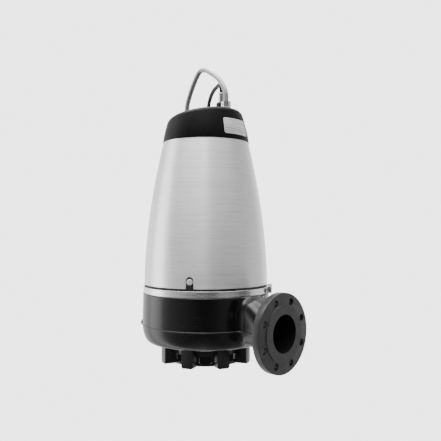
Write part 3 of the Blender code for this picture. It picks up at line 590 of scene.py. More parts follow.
def carved(base, cutter, place=Matrix()):
    """The base shape with the cutter taken out, moved to its place."""
    mesh = combine(base, [("DIFFERENCE", cutter)])
    mesh.transform(place)
    return mesh


def smooth_route(points, step):
    """Points at about equal steps along a smooth curve through the given ones."""
    parts = 24
    spots = [Vector(point) for point in points]
    spots = [2 * spots[0] - spots[1]] + spots + [2 * spots[-1] - spots[-2]]
    fine = []
    for before, start, end, after in zip(spots, spots[1:], spots[2:], spots[3:]):
        for k in range(parts):
            t = k / parts
            fine.append(
                0.5 * (2 * start + (end - before) * t + (2 * before - 5 * start + 4 * end - after) * t ** 2
                       + (3 * start - before - 3 * end + after) * t ** 3)
            )
    fine.append(spots[-2])
    lengths = [0.0]
    for start, end in zip(fine, fine[1:]):
        lengths.append(lengths[-1] + (end - start).length)
    count = max(2, round(lengths[-1] / step))
    route = []
    place = 0
    for k in range(count + 1):
        target = lengths[-1] * k / count
        while place < len(fine) - 2 and lengths[place + 1] < target:
            place += 1
        share = (target - lengths[place]) / (lengths[place + 1] - lengths[place])
        route.append(fine[place].lerp(fine[place + 1], share))
    return route


def tube(points, radius, resolution):
    """A round bar or cable along the points."""
    data = bpy.data.curves.new("tube", "CURVE")
    data.dimensions = "3D"
    data.bevel_depth = radius
    data.bevel_resolution = resolution
    data.use_fill_caps = True
    line = data.splines.new("POLY")
    line.points.add(len(points) - 1)
    for spot, place in zip(line.points, points):
        spot.co = (*place, 1.0)
    return data


def add(name, shape, look, *nodes):
    """One piece on the pump's axis, which rides on the body and stands for these CAD nodes."""
    slot, material = looks[look]
    data = to_mesh(shape) if isinstance(shape, bmesh.types.BMesh) else shape
    data.name = name
    data.materials.clear()
    data.materials.append(material)
    piece = show(bpy.data.objects.new(name, data))
    piece.location.x = PUMP_X
    bpy.context.view_layer.update()
    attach(piece, "root")
    if nodes:
        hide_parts(*nodes)
    return piece


# Nodes

def node(tree, kind, inputs=(), **settings):
    """A new node with these settings; its inputs are sockets to join or values, in order or by name."""
    made = tree.nodes.new("ShaderNode" + kind)
    for name, value in settings.items():
        setattr(made, name, value)
    for key, value in inputs.items() if isinstance(inputs, dict) else enumerate(inputs):
        if isinstance(value, bpy.types.NodeSocket):
            tree.links.new(value, made.inputs[key])
        elif value is not None:
            made.inputs[key].default_value = value
    return made


def calculate(tree, operation, *values):
    """The outcome of one operation on sockets or values."""
    return node(tree, "Math", values, operation=operation).outputs["Value"]


def spread(tree, value, start, end, low=0.0, high=1.0):
    """The value mapped from one range to another."""
    return node(tree, "MapRange", [value, start, end, low, high]).outputs["Result"]


def ramp(tree, value, stops):
    """A smooth ramp over the value, from (place, brightness) stops."""
    made = node(tree, "FloatCurve")
    curve = made.mapping.curves[0]
    highest = max(height for _, height in stops)
    while len(curve.points) < len(stops):
        curve.points.new(0.5, 0.5)
    for point, (place, height) in zip(curve.points, stops):
        point.location = (place, height / highest)
    made.mapping.update()
    tree.links.new(value, made.inputs["Value"])
    return calculate(tree, "MULTIPLY", made.outputs["Value"], highest)


# Materials

class Finish:
    """A Principled material and the few node forms that its detail is made of."""

    def __init__(self, name, colour, roughness, metallic=0.0, specular=0.5):
        self.material = bpy.data.materials.new(name)
        self.material.use_nodes = True
        self.tree = self.material.node_tree
        self.shader = self.tree.nodes["Principled BSDF"]
        self.shader.inputs["Base Color"].default_value = (*colour, 1.0)
        self.shader.inputs["Roughness"].default_value = roughness
        self.shader.inputs["Metallic"].default_value = metallic
        self.shader.inputs["Specular IOR Level"].default_value = specular
        self.material.diffuse_color = (*colour, 1.0)
        self.place = node(self.tree, "TexCoord").outputs["Object"]
        self.relief = None

    def noise(self, scale, stretch=(1, 1, 1), detail=4.0, roughness=0.55):
        """Noise in the piece's own metres, stretched along its axes."""
        place = node(self.tree, "Mapping", {"Vector": self.place, "Scale": stretch}).outputs["Vector"]
        values = {"Vector": place, "Scale": scale, "Detail": detail, "Roughness": roughness}
        return node(self.tree, "TexNoise", values).outputs["Fac"]

    def tint(self, value, dark, light, start=0.3, end=0.7):
        """Base colour from dark to light by the value."""
        made = node(self.tree, "ValToRGB", [value])
        for element, place, colour in zip(made.color_ramp.elements, (start, end), (dark, light)):
            element.position = place
            element.color = (*colour, 1.0)
        self.tree.links.new(made.outputs["Color"], self.shader.inputs["Base Color"])

    def gloss(self, value, low, high, start=0.3, end=0.7):
        """Roughness from low to high by the value."""
        self.tree.links.new(spread(self.tree, value, start, end, low, high), self.shader.inputs["Roughness"])

    def bump(self, value, depth, strength=1.0):
        """Adds relief of this depth in metres."""
        values = {"Height": value, "Distance": depth, "Strength": strength, "Normal": self.relief}
        self.relief = node(self.tree, "Bump", values).outputs["Normal"]
        self.tree.links.new(self.relief, self.shader.inputs["Normal"])

    def sum(self, first, second, share):
        """The first value with a share of the second."""
        return calculate(self.tree, "MULTIPLY_ADD", second, share, first)


def grey(value):
    return (value, value, value * 1.01)


def cast_paint(name, dark, light, low, high, grain, specular):
    """Paint on cast iron: soft unevenness, a fine grain and patches of more or less gloss."""
    made = Finish(name, grey(light), high, specular=specular)
    patches = made.noise(14.0, detail=3.0)
    fine = made.noise(900.0, detail=2.0)
    made.tint(made.sum(patches, fine, 0.25), grey(dark), grey(light), 0.35, 0.9)
    made.gloss(made.sum(made.noise(60.0), fine, 0.3), low, high, 0.4, 0.9)
    made.bump(made.noise(90.0, detail=5.0), 0.0005, 0.35)
    made.bump(fine, grain)
    return made.material


def brushed(name, dark, light, low, high, stretch, anisotropy=0.0):
    """Brushed metal with long hairlines across the stretched axis, rubs and a few deeper scratches."""
    made = Finish(name, grey(light), high, metallic=1.0)
    lines = made.noise(1.0, stretch, detail=6.0, roughness=0.7)
    long_lines = made.noise(1.0, tuple(value * 0.23 for value in stretch), detail=4.0, roughness=0.6)
    rubs = made.noise(7.0, detail=3.0)
    both = made.sum(made.sum(lines, long_lines, 0.6), rubs, 0.25)
    made.tint(both, grey(dark), grey(light), 0.72, 1.15)
    made.gloss(both, low, high, 0.72, 1.15)
    made.bump(lines, 0.00006, 0.6)
    made.bump(long_lines, 0.00010, 0.35)
    if anisotropy:
        made.shader.inputs["Anisotropic"].default_value = anisotropy
        made.shader.inputs["Anisotropic Rotation"].default_value = 0.25
        tangent = node(made.tree, "Tangent", direction_type="RADIAL", axis="Z")
        made.tree.links.new(tangent.outputs["Tangent"], made.shader.inputs["Tangent"])
    return made.material


def plated(name, colour, low, high):
    """Plated or polished metal with faint clouding and handling marks."""
    made = Finish(name, grey(colour), high, metallic=1.0)
    clouds = made.noise(120.0, detail=4.0)
    marks = made.noise(900.0, (1, 1, 0.12), detail=3.0)
    made.tint(clouds, grey(colour * 0.82), grey(colour))
    made.gloss(made.sum(clouds, marks, 0.4), low, high, 0.4, 0.95)
    made.bump(marks, 0.00003, 0.5)
    return made.material


def jacket(name, dark, light, low, high):
    """Rubber or plastic: dull, with dust, scuffs and a fine skin."""
    made = Finish(name, grey(light), high, specular=0.4)
    dust = made.noise(40.0, detail=5.0)
    skin = made.noise(1400.0, detail=2.0)
    made.tint(dust, grey(dark), grey(light))
    made.gloss(made.sum(dust, skin, 0.4), low, high, 0.4, 0.95)
    made.bump(skin, 0.00006, 0.6)
    return made.material


def machined(name, dark, light):
    """A painted sealing face with the shallow rings of its turning, about the outlet's axis."""
    made = Finish(name, grey(light), 0.3, specular=0.36)
    spot = node(made.tree, "SeparateXYZ", [made.place]).outputs
    rise = calculate(made.tree, "SUBTRACT", spot["Z"], OUTLET_HEIGHT)
    flat = node(made.tree, "CombineXYZ", [spot["Y"], rise]).outputs["Vector"]
    radius = node(made.tree, "VectorMath", [flat], operation="LENGTH").outputs["Value"]
    wave = calculate(made.tree, "SINE", calculate(made.tree, "MULTIPLY", radius, math.tau / TURNING_PITCH))
    made.tint(made.noise(30.0), grey(dark), grey(light))
    made.gloss(made.noise(200.0), 0.26, 0.34)
    made.bump(wave, 0.00004, 0.4)
    made.bump(made.noise(900.0), 0.00003, 0.5)
    return made.material


def add_materials():
    """Every finish by a short name, with the slot that it dresses."""
    return {
        "iron": ("black_iron", cast_paint("black_iron_paint", 0.003, 0.005, 0.14, 0.20, 0.00002, 0.45)),
        "flange": ("black_iron", machined("flange_face_paint", 0.019, 0.027)),
        "bore": ("black_iron", cast_paint("bore_paint", 0.003, 0.005, 0.5, 0.7, 0.00012, 0.15)),
        # The foot's paint is lighter than the housing's: painted reflection of the bright floor below it
        "foot": ("black_iron", cast_paint("foot_paint_with_painted_reflection", 0.010, 0.018, 0.22, 0.30, 0.00004, 0.45)),
        "raw": ("dark_iron", cast_paint("dark_iron_cast", 0.020, 0.040, 0.55, 0.75, 0.00020, 0.3)),
        "sleeve": ("brushed_steel", brushed("brushed_sleeve", 0.78, 0.97, 0.36, 0.42, (24, 24, 900), 0.97)),
        "band": ("bright_steel", brushed("bright_band", 0.84, 0.94, 0.25, 0.30, (18, 18, 1200), 0.85)),
        "bar": ("bright_steel", plated("bright_bar", 0.50, 0.48, 0.60)),
        "screw": ("bright_steel", plated("screw_head", 0.98, 0.62, 0.75)),
        "plug": ("zinc_steel", plated("dulled_zinc", 0.30, 0.42, 0.54)),
        "zinc": ("zinc_steel", plated("zinc_plate", 0.80, 0.30, 0.42)),
        "chrome": ("chrome", plated("chrome_sleeve", 0.80, 0.06, 0.14)),
        "cover": ("cover_black", cast_paint("cover_coat", 0.002, 0.003, 0.34, 0.44, 0.00005, 0.13)),
        "seal": ("black_rubber", jacket("black_rubber_skin", 0.010, 0.020, 0.5, 0.7)),
        "gland": ("gland_black", jacket("gland_skin", 0.004, 0.008, 0.35, 0.5)),
        "cable": ("cable_black", jacket("cable_jacket", 0.012, 0.022, 0.42, 0.6)),
        "tie": ("gland_black", jacket("tie_skin", 0.012, 0.020, 0.3, 0.45)),
        "plate": ("plate_metal", brushed("plate_face", 0.92, 0.98, 0.36, 0.46, (30, 30, 700))),
        "print": ("plate_metal", jacket("plate_print", 0.05, 0.09, 0.4, 0.6)),
        "copper": ("bright_steel", plated("copper_end", 0.5, 0.2, 0.35)),
    }


# Cable and coil

def coil_centre():
    """The middle of the coil, on the floor."""
    return spoke(COIL_ANGLE) @ Vector((COIL_NEAR_SIDE + COIL_MEAN_R + COIL_COLUMNS * CABLE_R, 0, 0))


def coil_moves():
    """(angle, sideways, upward) of each step of a turn to its next place, and the angle of the end."""
    turn = COIL_FIRST_MOVE
    moves = [(turn, -1, 0)]
    for row in range(COIL_ROWS):
        for _ in range(COIL_COLUMNS - 1):
            turn += 360.0
            moves.append((turn, 1 if row % 2 else -1, 0))
        if row < COIL_ROWS - 1:
            turn += 360.0 - COIL_ROW_LAG / 2
            moves.append((turn, 0, 1))
            turn -= COIL_ROW_LAG / 2
    return moves, turn + COIL_RUN_OUT


def coil_path():
    """The coil's centreline, about the pump's axis, from the route's end round all its turns.

    In each row the turns step by one place at one spot of the ring, and each higher row steps a
    little earlier, so that a turn has left its place before the next one takes it.
    """
    pitch = 2 * CABLE_R
    moves, end = coil_moves()
    points = []
    count = round(end / COIL_STEP)
    for k in range(count + 1):
        angle = end * k / count
        column = COIL_COLUMNS
        row = 0.0
        for middle, sideways, upward in moves:
            share = min(1.0, max(0.0, (angle - middle) / COIL_MOVE_WIDTH + 0.5))
            share = share * share * (3 - 2 * share)
            column += sideways * share
            row += upward * share
        radius = COIL_MEAN_R + (column - (COIL_COLUMNS - 1) / 2) * pitch
        spot = polar(radius, COIL_ANGLE + 180.0 + COIL_LEAD - angle, CABLE_R + row * pitch)
        points.append(coil_centre() + spot)
    return points


def coil_tie(turn):
    """A strap round the coil's section, with its head on top."""
    half = COIL_COLUMNS * CABLE_R
    top = COIL_ROWS * 2 * CABLE_R
    thick = TIE_THICKNESS
    loops = (
        rounded_box(2 * half + 2 * thick, 0.0, top + thick, CABLE_R, 8),
        rounded_box(2 * half, thick, top, CABLE_R - thick, 8),
    )
    bm = bmesh.new()
    rows = []
    for offset in (-TIE_HALF_WIDTH, TIE_HALF_WIDTH):
        rows += [[bm.verts.new((x, offset, y)) for x, y in loop] for loop in loops]
    for one, other in ((0, 1), (1, 3), (3, 2), (2, 0)):
        bridge(bm, rows[one], rows[other])
    outline = rounded_box(TIE_HEAD_LENGTH, -TIE_HEAD_HALF_WIDTH, TIE_HEAD_HALF_WIDTH, TIE_HEAD_CORNER, 2)
    head = placed(prism(outline, 0.0, TIE_HEAD_HEIGHT), shift(half - TIE_HEAD_INSET, 0, top))
    place = Matrix.Translation(coil_centre()) @ spoke(COIL_ANGLE + turn) @ shift(COIL_MEAN_R, 0, 0)
    return placed(joined([bm, head]), place)


def add_cores(end, ahead):
    """The bare cores at the cable's far end, each with its wire."""
    up = Vector((0, 0, 1))
    side = ahead.cross(up).normalized()
    cores = []
    for k in range(CORES):
        angle = math.tau * (k + 0.5) / CORES
        away = side * math.cos(angle) + up * math.sin(angle)
        start = end - ahead * CORE_SUNK + away * CORE_RING_R
        tip = start + ahead * CORE_LENGTH + away * CORE_SPLAY
        line = smooth_route([start, start.lerp(tip, 0.5), tip], CORE_STEP)
        wire = [tip - ahead * WIRE_SUNK, tip + ahead * WIRE_LENGTH]
        cores.append(add(f"cable_core_{k + 1}", tube(line, CORE_R, 3), "gland"))
        cores.append(add(f"cable_wire_{k + 1}", tube(wire, WIRE_R, 2), "copper"))
    return cores


def add_cable():
    """The cable, its coil, the ties that hold the coil and the bare ends of its cores."""
    points = [polar(*spot) for spot in CABLE_ROUTE]
    coil = coil_path()
    route = points[:1] + smooth_route(points[1:-1] + coil[2:3], CABLE_STEP) + coil[3:]
    cable = add("power_cable_run", tube(route, CABLE_R, 4), "cable", "power_cable", "cable_coil")
    pieces = [add(f"coil_tie_{k}", coil_tie(turn), "tie") for k, turn in enumerate(TIE_TURNS, 1)]
    pieces += add_cores(route[-1], (route[-1] - route[-2]).normalized())


# Housing and neck

def housing_profile():
    """(radius, height) points of the casting's outside, from the top down."""
    rounding = HOUSING_ROUNDING
    points = [(0.0, HOUSING_TOP)]
    points += arc((HOUSING_TOP_R - rounding, HOUSING_TOP - rounding), rounding, 90, 0, 6)
    points.append((HOUSING_R, OUTLET_HEIGHT))
    depth = BOWL_START - HOUSING_BOTTOM
    start = math.asin(((BOWL_START - OUTLET_HEIGHT) / depth) ** (BOWL_SQUARENESS / 2))
    for step in range(1, BOWL_STEPS + 1):
        angle = start + (math.pi / 2 - start) * step / BOWL_STEPS
        out = max(0.0, math.cos(angle)) ** (2 / BOWL_SQUARENESS)
        down = math.sin(angle) ** (2 / BOWL_SQUARENESS)
        points.append((BOWL_BOTTOM_R + (HOUSING_R - BOWL_BOTTOM_R) * out, BOWL_START - depth * down))
    points.append((0.0, HOUSING_BOTTOM))
    return points


def body_distance(spots):
    """Signed distance from points to the turned body, from its profile."""
    flat = np.stack([np.hypot(spots[:, 0], spots[:, 1]), spots[:, 2]], axis=1)
    profile = np.array(housing_profile())
    nearest = np.full(len(flat), np.inf)
    inside = np.zeros(len(flat), dtype=bool)
    for start, end in zip(profile, np.roll(profile, -1, axis=0)):
        along = end - start
        length = float(along @ along)
        if length == 0:
            continue
        share = np.clip(((flat - start) @ along) / length, 0, 1)
        if not (start[0] == 0 and end[0] == 0):
            nearest = np.minimum(nearest, np.linalg.norm(flat - start - share[:, None] * along, axis=1))
        crosses = (start[1] > flat[:, 1]) != (end[1] > flat[:, 1])
        if start[1] != end[1]:
            edge = start[0] + (flat[:, 1] - start[1]) * along[0] / along[1]
            inside ^= crosses & (flat[:, 0] < edge)
    return np.where(inside, -nearest, nearest)


def neck_section(x):
    """Half width, half height, middle height and squareness of the neck at a distance from the axis."""
    turning = FLANGE_BACK + FLANGE_ROUNDING - NECK_STRAIGHT_END
    share = np.clip((x - NECK_STRAIGHT_END) / turning, 0, 1)
    blend = share * share * (3 - 2 * share)
    root_half_height = (NECK_ROOT_TOP - NECK_ROOT_BOTTOM) / 2
    half_width = NECK_ROOT_HALF_WIDTH + (NECK_END_R - NECK_ROOT_HALF_WIDTH) * blend
    half_height = root_half_height + (NECK_END_R - root_half_height) * blend
    root_middle = NECK_ROOT_BOTTOM + root_half_height
    middle = root_middle + (OUTLET_HEIGHT - root_middle) * blend
    return half_width, half_height, middle, NECK_ROOT_SQUARENESS + (2 - NECK_ROOT_SQUARENESS) * blend


def neck_distance(spots):
    """About the signed distance from points to the neck."""
    never_zero = 1e-9
    half_width, half_height, middle, squareness = neck_section(spots[:, 0])
    across = np.abs(spots[:, 1]) / half_width + never_zero
    up = np.abs(spots[:, 2] - middle) / half_height + never_zero
    total = across ** squareness + up ** squareness
    level = total ** (1 / squareness)
    slope_across = level / total * across ** (squareness - 1) / half_width
    slope_up = level / total * up ** (squareness - 1) / half_height
    sideways = (level - 1) / np.hypot(slope_across, slope_up)
    return np.maximum(sideways, NECK_ROOT_START - spots[:, 0])


def casting_distance(spots):
    """Signed distance to the body and the neck, run together in a fillet."""
    body = body_distance(spots)
    neck = neck_distance(spots)
    share = np.clip(0.5 + 0.5 * (neck - body) / NECK_FILLET, 0, 1)
    return neck + (body - neck) * share - NECK_FILLET * share * (1 - share)


def onto_casting(spots):
    """The points moved onto the casting's surface, in a few rounds."""
    rounds, least_slope = 3, 0.2
    for _ in range(rounds):
        value = casting_distance(spots)
        slope = np.zeros_like(spots)
        for axis in range(3):
            step = np.zeros(3)
            step[axis] = SLOPE_SPAN
            change = casting_distance(spots + step) - casting_distance(spots - step)
            slope[:, axis] = change / (2 * SLOPE_SPAN)
        steep = np.maximum((slope ** 2).sum(axis=1), least_slope)
        spots = spots - slope * np.clip(value / steep, -LARGEST_MOVE, LARGEST_MOVE)[:, None]
    return spots


def neck_shape():
    """The neck as a loft, to be joined to the body before both are smoothed."""
    into_flange = 0.004
    bm = bmesh.new()
    rings = []
    for x in np.linspace(NECK_ROOT_START, FLANGE_BACK + into_flange, NECK_STEPS):
        half_width, half_height, middle, squareness = (float(value) for value in neck_section(np.float64(x)))
        ring = []
        for k in range(NECK_SEGMENTS):
            across = math.cos(math.tau * k / NECK_SEGMENTS)
            up = math.sin(math.tau * k / NECK_SEGMENTS)
            y = half_width * math.copysign(abs(across) ** (2 / squareness), across)
            z = middle + half_height * math.copysign(abs(up) ** (2 / squareness), up)
            ring.append(bm.verts.new((x, y, z)))
        rings.append(ring)
    for ring, following in zip(rings, rings[1:]):
        bridge(bm, ring, following)
    bm.faces.new(rings[0])
    bm.faces.new(rings[-1])
    return bm


def add_casting():
    """The smooth cast body and neck, open where the flange and the chamber close it."""
    mesh = combine(turned(housing_profile(), 128), [("UNION", neck_shape())], voxel=CASTING_VOXEL)
    spots = np.empty(len(mesh.vertices) * 3)
    mesh.vertices.foreach_get("co", spots)
    spots = spots.reshape(-1, 3)
    end = FLANGE_BACK - CASTING_MARGIN / 2
    moved = onto_casting(spots)
    keep = spots[:, 0] > end
    moved[keep] = spots[keep]
    mesh.vertices.foreach_set("co", moved.ravel())
    bm = bmesh.new()
    bm.from_mesh(mesh)
    hidden = []
    for face in bm.faces:
        middle = face.calc_center_median()
        in_hole = math.hypot(middle.x, middle.y) < SUCTION_HOLE_R + CASTING_MARGIN and middle.z < CHAMBER_TOP
        if middle.x > end + CASTING_MARGIN or in_hole:
            hidden.append(face)
    bmesh.ops.delete(bm, geom=hidden, context="FACES")
    bm.to_mesh(mesh)
    bm.free()
    mesh.update()
    mesh.shade_smooth()
    add("housing_casting", mesh, "iron", "pump_housing")


def add_ridge():
    """The parting ridge round the casting at the outlet's height, found by halving."""
    spots, halvings = 420, 30
    angles = np.radians(np.linspace(RIDGE_START, 360.0 - RIDGE_START, spots))
    heights = np.full(spots, OUTLET_HEIGHT)
    low, high = (np.full(spots, radius) for radius in RIDGE_SEARCH)
    for _ in range(halvings):
        radii = (low + high) / 2
        tried = np.stack([radii * np.cos(angles), radii * np.sin(angles), heights], axis=1)
        outside = casting_distance(tried) > 0
        high = np.where(outside, radii, high)
        low = np.where(outside, low, radii)
    radii = radii - RIDGE_SUNK
    line = [Vector((r * math.cos(a), r * math.sin(a), OUTLET_HEIGHT)) for r, a in zip(radii, angles)]
    line = [spot for spot in line if spot.x < FLANGE_BACK]
    add("parting_ridge", tube(line, RIDGE_R, 2), "iron")


def add_inside():
    """The joint under the clamp band, and the chamber with its way out to the bore."""
    add("joint_ring", hoop(JOINT_R, JOINT_INNER_R, JOINT_BOTTOM, JOINT_TOP, 128), "iron")
    under = HOUSING_BOTTOM - UNDERSIDE_DROP
    seat_r = BOWL_BOTTOM_R - UNDERSIDE_INSET
    back_r = CHAMBER_R + CHAMBER_WALL
    inside = [
        (0.0, CHAMBER_TOP), (CHAMBER_R - CHAMBER_CORNER, CHAMBER_TOP),
        (CHAMBER_R, CHAMBER_TOP - CHAMBER_CORNER), (CHAMBER_R, CHAMBER_BOTTOM),
        (SUCTION_HOLE_R, CHAMBER_BOTTOM), (SUCTION_HOLE_R, under), (seat_r, under),
        (seat_r, HOUSING_BOTTOM + UNDERSIDE_THICKNESS), (back_r, HOUSING_BOTTOM + CHAMBER_WALL),
        (back_r, CHAMBER_TOP + CHAMBER_WALL), (0.0, CHAMBER_TOP + CHAMBER_WALL),
    ]
    bore = upright(THROAT_R, CHAMBER_R - THROAT_R, CHAMBER_R + THROAT_R, 96)
    bore = placed(bore, outward(0.0, OUTLET_HEIGHT))
    add("pump_chamber", carved(turned(inside, 96), bore), "bore")


def add_plugs():
    """The two plugs, each with its hexagon socket and its boss on the housing."""
    end = PLUG_BOSS_REACH
    start = HOUSING_R - PLUG_BOSS_DEPTH
    flare_r = PLUG_BOSS_R + PLUG_BOSS_FLARE
    edge = PLUG_BOSS_ROUNDING
    profile = [(0.0, start), (flare_r, start), (flare_r, HOUSING_R - PLUG_FLARE_SUNK)]
    profile += arc((PLUG_BOSS_R - edge, end - edge), edge, 0, 90, 4) + [(0.0, end)]
    for number, angle in enumerate(PLUG_ANGLES, 1):
        place = outward(angle, PLUG_HEIGHT)
        add(f"plug_boss_{number}", placed(turned(profile, 48), place), "iron")
        head = chamfered_hexagon(PLUG_FLATS, end + GAP, end + PLUG_RISE, 0.0)
        socket = prism(hexagon(PLUG_SOCKET), end + PLUG_SOCKET_FLOOR, end + PAST)
        add(f"plug_head_{number}", carved(head, socket, place), "plug", f"housing_plug_{number}")


# Flange and bore

def flange_profile():
    """(radius, distance from the pump's axis) points, from the bore round the rim to the neck."""
    face, step, edge, fillet = RAISED_FACE_EDGE, RAISED_FACE_FILLET, FLANGE_ROUNDING, FLANGE_FILLET
    root = FLANGE_BACK - FLANGE_ROOT_DEPTH
    points = [(OUTLET_BORE_R, OUTLET_REACH), (RAISED_FACE_R - face, OUTLET_REACH)]
    points += [(RAISED_FACE_R, OUTLET_REACH - face), (RAISED_FACE_R, FLANGE_FRONT + step)]
    points += arc((RAISED_FACE_R + step, FLANGE_FRONT + step), step, 180, 270, 3)
    points += arc((FLANGE_R - edge, FLANGE_FRONT - edge), edge, 90, 0, 5)
    points += arc((FLANGE_R - edge, FLANGE_BACK + edge), edge, 0, -90, 5)
    points += arc((NECK_END_R + fillet + FLANGE_FILLET_GAP, FLANGE_BACK - fillet), fillet, 90, 180, 8)
    return points + [(NECK_END_R - FLANGE_ROOT_SUNK, root), (OUTLET_BORE_R, root)]


def add_flange():
    """The round flange with its bolt holes, raised face and the root of the neck."""
    front = FLANGE_FRONT + BOLT_HOLE_PAST
    back = FLANGE_BACK - BOLT_HOLE_PAST
    hole = [
        (0.0, front), (BOLT_HOLE_R + BOLT_HOLE_FLARE, front), (BOLT_HOLE_R, FLANGE_FRONT - BOLT_HOLE_CHAMFER),
        (BOLT_HOLE_R, back), (0.0, back),
    ]
    holes = []
    for k in range(BOLT_HOLES):
        angle = math.tau * (k + 0.5) / BOLT_HOLES
        place = shift(BOLT_CIRCLE_R * math.cos(angle), BOLT_CIRCLE_R * math.sin(angle), 0)
        holes.append(placed(turned(hole, 40), place))
    disc = turned(flange_profile(), 144, ring=True)
    shape = carved(disc, joined(holes), outward(0.0, OUTLET_HEIGHT))
    add("outlet_flange", shape, "flange", "pump_housing")


def add_bore():
    """The lining of the passage, which widens from the chamber to the flange."""
    bore_r = OUTLET_BORE_R - LINING_PROUD
    throat_r = THROAT_R - LINING_PROUD
    passage = [
        (bore_r, OUTLET_REACH - LINING_SHORT), (bore_r, FLANGE_BACK), (throat_r, NECK_STRAIGHT_END),
        (throat_r, THROAT_START),
    ]
    pipe = turned(passage + [(radius + LINING, x) for radius, x in reversed(passage)], 96, ring=True)
    add("outlet_bore", placed(pipe, outward(0.0, OUTLET_HEIGHT)), "bore")


# Clamp band

def add_band():
    """The clamp band, with folded edges and a shallow flat between them."""
    edge = BAND_EDGE
    inner_r = BAND_R - BAND_THICKNESS
    flat_r = BAND_R - BAND_DISH
    section = [(inner_r, BAND_TOP)] + arc((BAND_R - edge, BAND_TOP - edge), edge, 90, 0, 3)
    section += [(flat_r, BAND_MIDDLE + BAND_DISH_HALF), (flat_r, BAND_MIDDLE - BAND_DISH_HALF)]
    section += arc((BAND_R - edge, BAND_BOTTOM + edge), edge, 0, -90, 3) + [(inner_r, BAND_BOTTOM)]
    add("clamp_strap", turned(section, 192, ring=True), "band", "clamp_band")


def closure_loop(crossways, place):
    """The end of the band, folded round a trunnion, with a gap for the bolt."""
    shell = hoop(LOOP_R, LOOP_R - LOOP_WALL, BAND_BOTTOM + LOOP_INSET, BAND_TOP - LOOP_INSET, 40)
    outline = rounded_box(LOOP_GAP, -LOOP_R, LOOP_R, LOOP_GAP_CORNER, 3)
    gap = placed(prism(outline, -2 * LOOP_R, 2 * LOOP_R), crossways)
    return carved(shell, gap, place)


def closure_trunnion(crossways, place):
    """The pin in a loop, bored for the bolt."""
    radius = LOOP_R - LOOP_WALL - TRUNNION_PLAY
    chamfer = TRUNNION_CHAMFER
    pin = [
        (0.0, BAND_BOTTOM), (radius - chamfer, BAND_BOTTOM), (radius, BAND_BOTTOM + chamfer),
        (radius, LOOP_TOP - chamfer), (radius - chamfer, LOOP_TOP), (0.0, LOOP_TOP),
    ]
    bore = placed(upright(TRUNNION_BORE_R, -2 * LOOP_R, 2 * LOOP_R), crossways)
    return carved(turned(pin, 40), bore, place)


def closure_tab(side):
    """The doubled strap beside a loop, flat against the band."""
    outline = rounded_box(TAB_WIDTH, -TAB_HALF_HEIGHT, TAB_HALF_HEIGHT, TAB_CORNER, 4)
    place = outward(CLOSURE_ANGLE + side * (LOOP_SPREAD + TAB_SPREAD), BAND_MIDDLE)
    place = place @ shift(0, 0, BAND_R - BAND_DISH) @ Matrix.Rotation(math.pi / 2, 4, "Z")
    return placed(prism(outline, 0.0, TAB_THICKNESS), place)


def add_closure():
    """The closure of the clamp band: loops round trunnions, a bolt through both and its nut."""
    loop_middle_r = BAND_R + GAP + LOOP_R
    half_span = loop_middle_r * math.sin(math.radians(LOOP_SPREAD))
    bolt_middle_r = loop_middle_r * math.cos(math.radians(LOOP_SPREAD))
    crossways = shift(0, 0, BAND_MIDDLE) @ Matrix.Rotation(math.pi / 2, 4, "X")
    for number, side in ((1, -1), (2, 1)):
        place = spoke(CLOSURE_ANGLE) @ shift(bolt_middle_r, side * half_span, 0)
        add(f"closure_loop_{number}", closure_loop(crossways, place), "band", f"clamp_loop_{number}")
        add(f"closure_trunnion_{number}", closure_trunnion(crossways, place), "zinc")
        add(f"closure_tab_{number}", closure_tab(side), "band")
    centre = spoke(CLOSURE_ANGLE) @ shift(bolt_middle_r, 0, BAND_MIDDLE)
    along = centre @ Matrix.Rotation(-math.pi / 2, 4, "X")
    start = -half_span - LOOP_R + BOLT_SUNK
    nut_start = half_span + LOOP_R + GAP
    nut_end = nut_start + CLOSURE_NUT_HEIGHT
    rod = thread(BOLT_R, start, nut_end + BOLT_TAIL, BOLT_PITCH)
    add("closure_bolt", placed(rod, along), "zinc", "clamp_bolt")
    nut = chamfered_hexagon(CLOSURE_NUT_FLATS, nut_start, nut_end, NUT_BORE_R)
    add("closure_nut", placed(nut, along), "zinc", "clamp_nut")


# Sleeve

def sleeve_radius(height):
    share = max(0.0, (height - SLEEVE_BOTTOM) / (SLEEVE_TOP - SLEEVE_BOTTOM))
    return SLEEVE_BOTTOM_R - (SLEEVE_BOTTOM_R - SLEEVE_TOP_R) * share ** SLEEVE_CURVE


def add_sleeve():
    """The brushed sleeve with its slots."""
    lip = SLEEVE_LIP
    span = SLEEVE_BOTTOM - SLEEVE_TOP
    heights = [SLEEVE_TOP + span * k / SLEEVE_STEPS for k in range(SLEEVE_STEPS + 1)]
    outer = [(sleeve_radius(SLEEVE_TOP) - lip, SLEEVE_TOP)]
    outer += [(sleeve_radius(z), z) for z in [SLEEVE_TOP - lip] + heights[1:-1] + [SLEEVE_BOTTOM + lip]]
    outer.append((SLEEVE_BOTTOM_R - lip, SLEEVE_BOTTOM))
    inner = [(sleeve_radius(z) - SLEEVE_WALL, z) for z in reversed(heights)]
    below = SLEEVE_BOTTOM - SLOT_HALF_WIDTH
    outline = [(SLOT_HALF_WIDTH, below)]
    outline += arc((0.0, SLOT_TOP - SLOT_HALF_WIDTH), SLOT_HALF_WIDTH, 0, 180, 24)
    outline.append((-SLOT_HALF_WIDTH, below))
    slots = [
        placed(prism(outline, SLEEVE_BOTTOM_R - SLOT_REACH, SLEEVE_BOTTOM_R + SLOT_REACH), standing(angle))
        for angle in SLOT_ANGLES
    ]
    shell = carved(turned(outer + inner, 192, ring=True), joined(slots))
    add("motor_sleeve_shell", shell, "sleeve", "motor_sleeve")


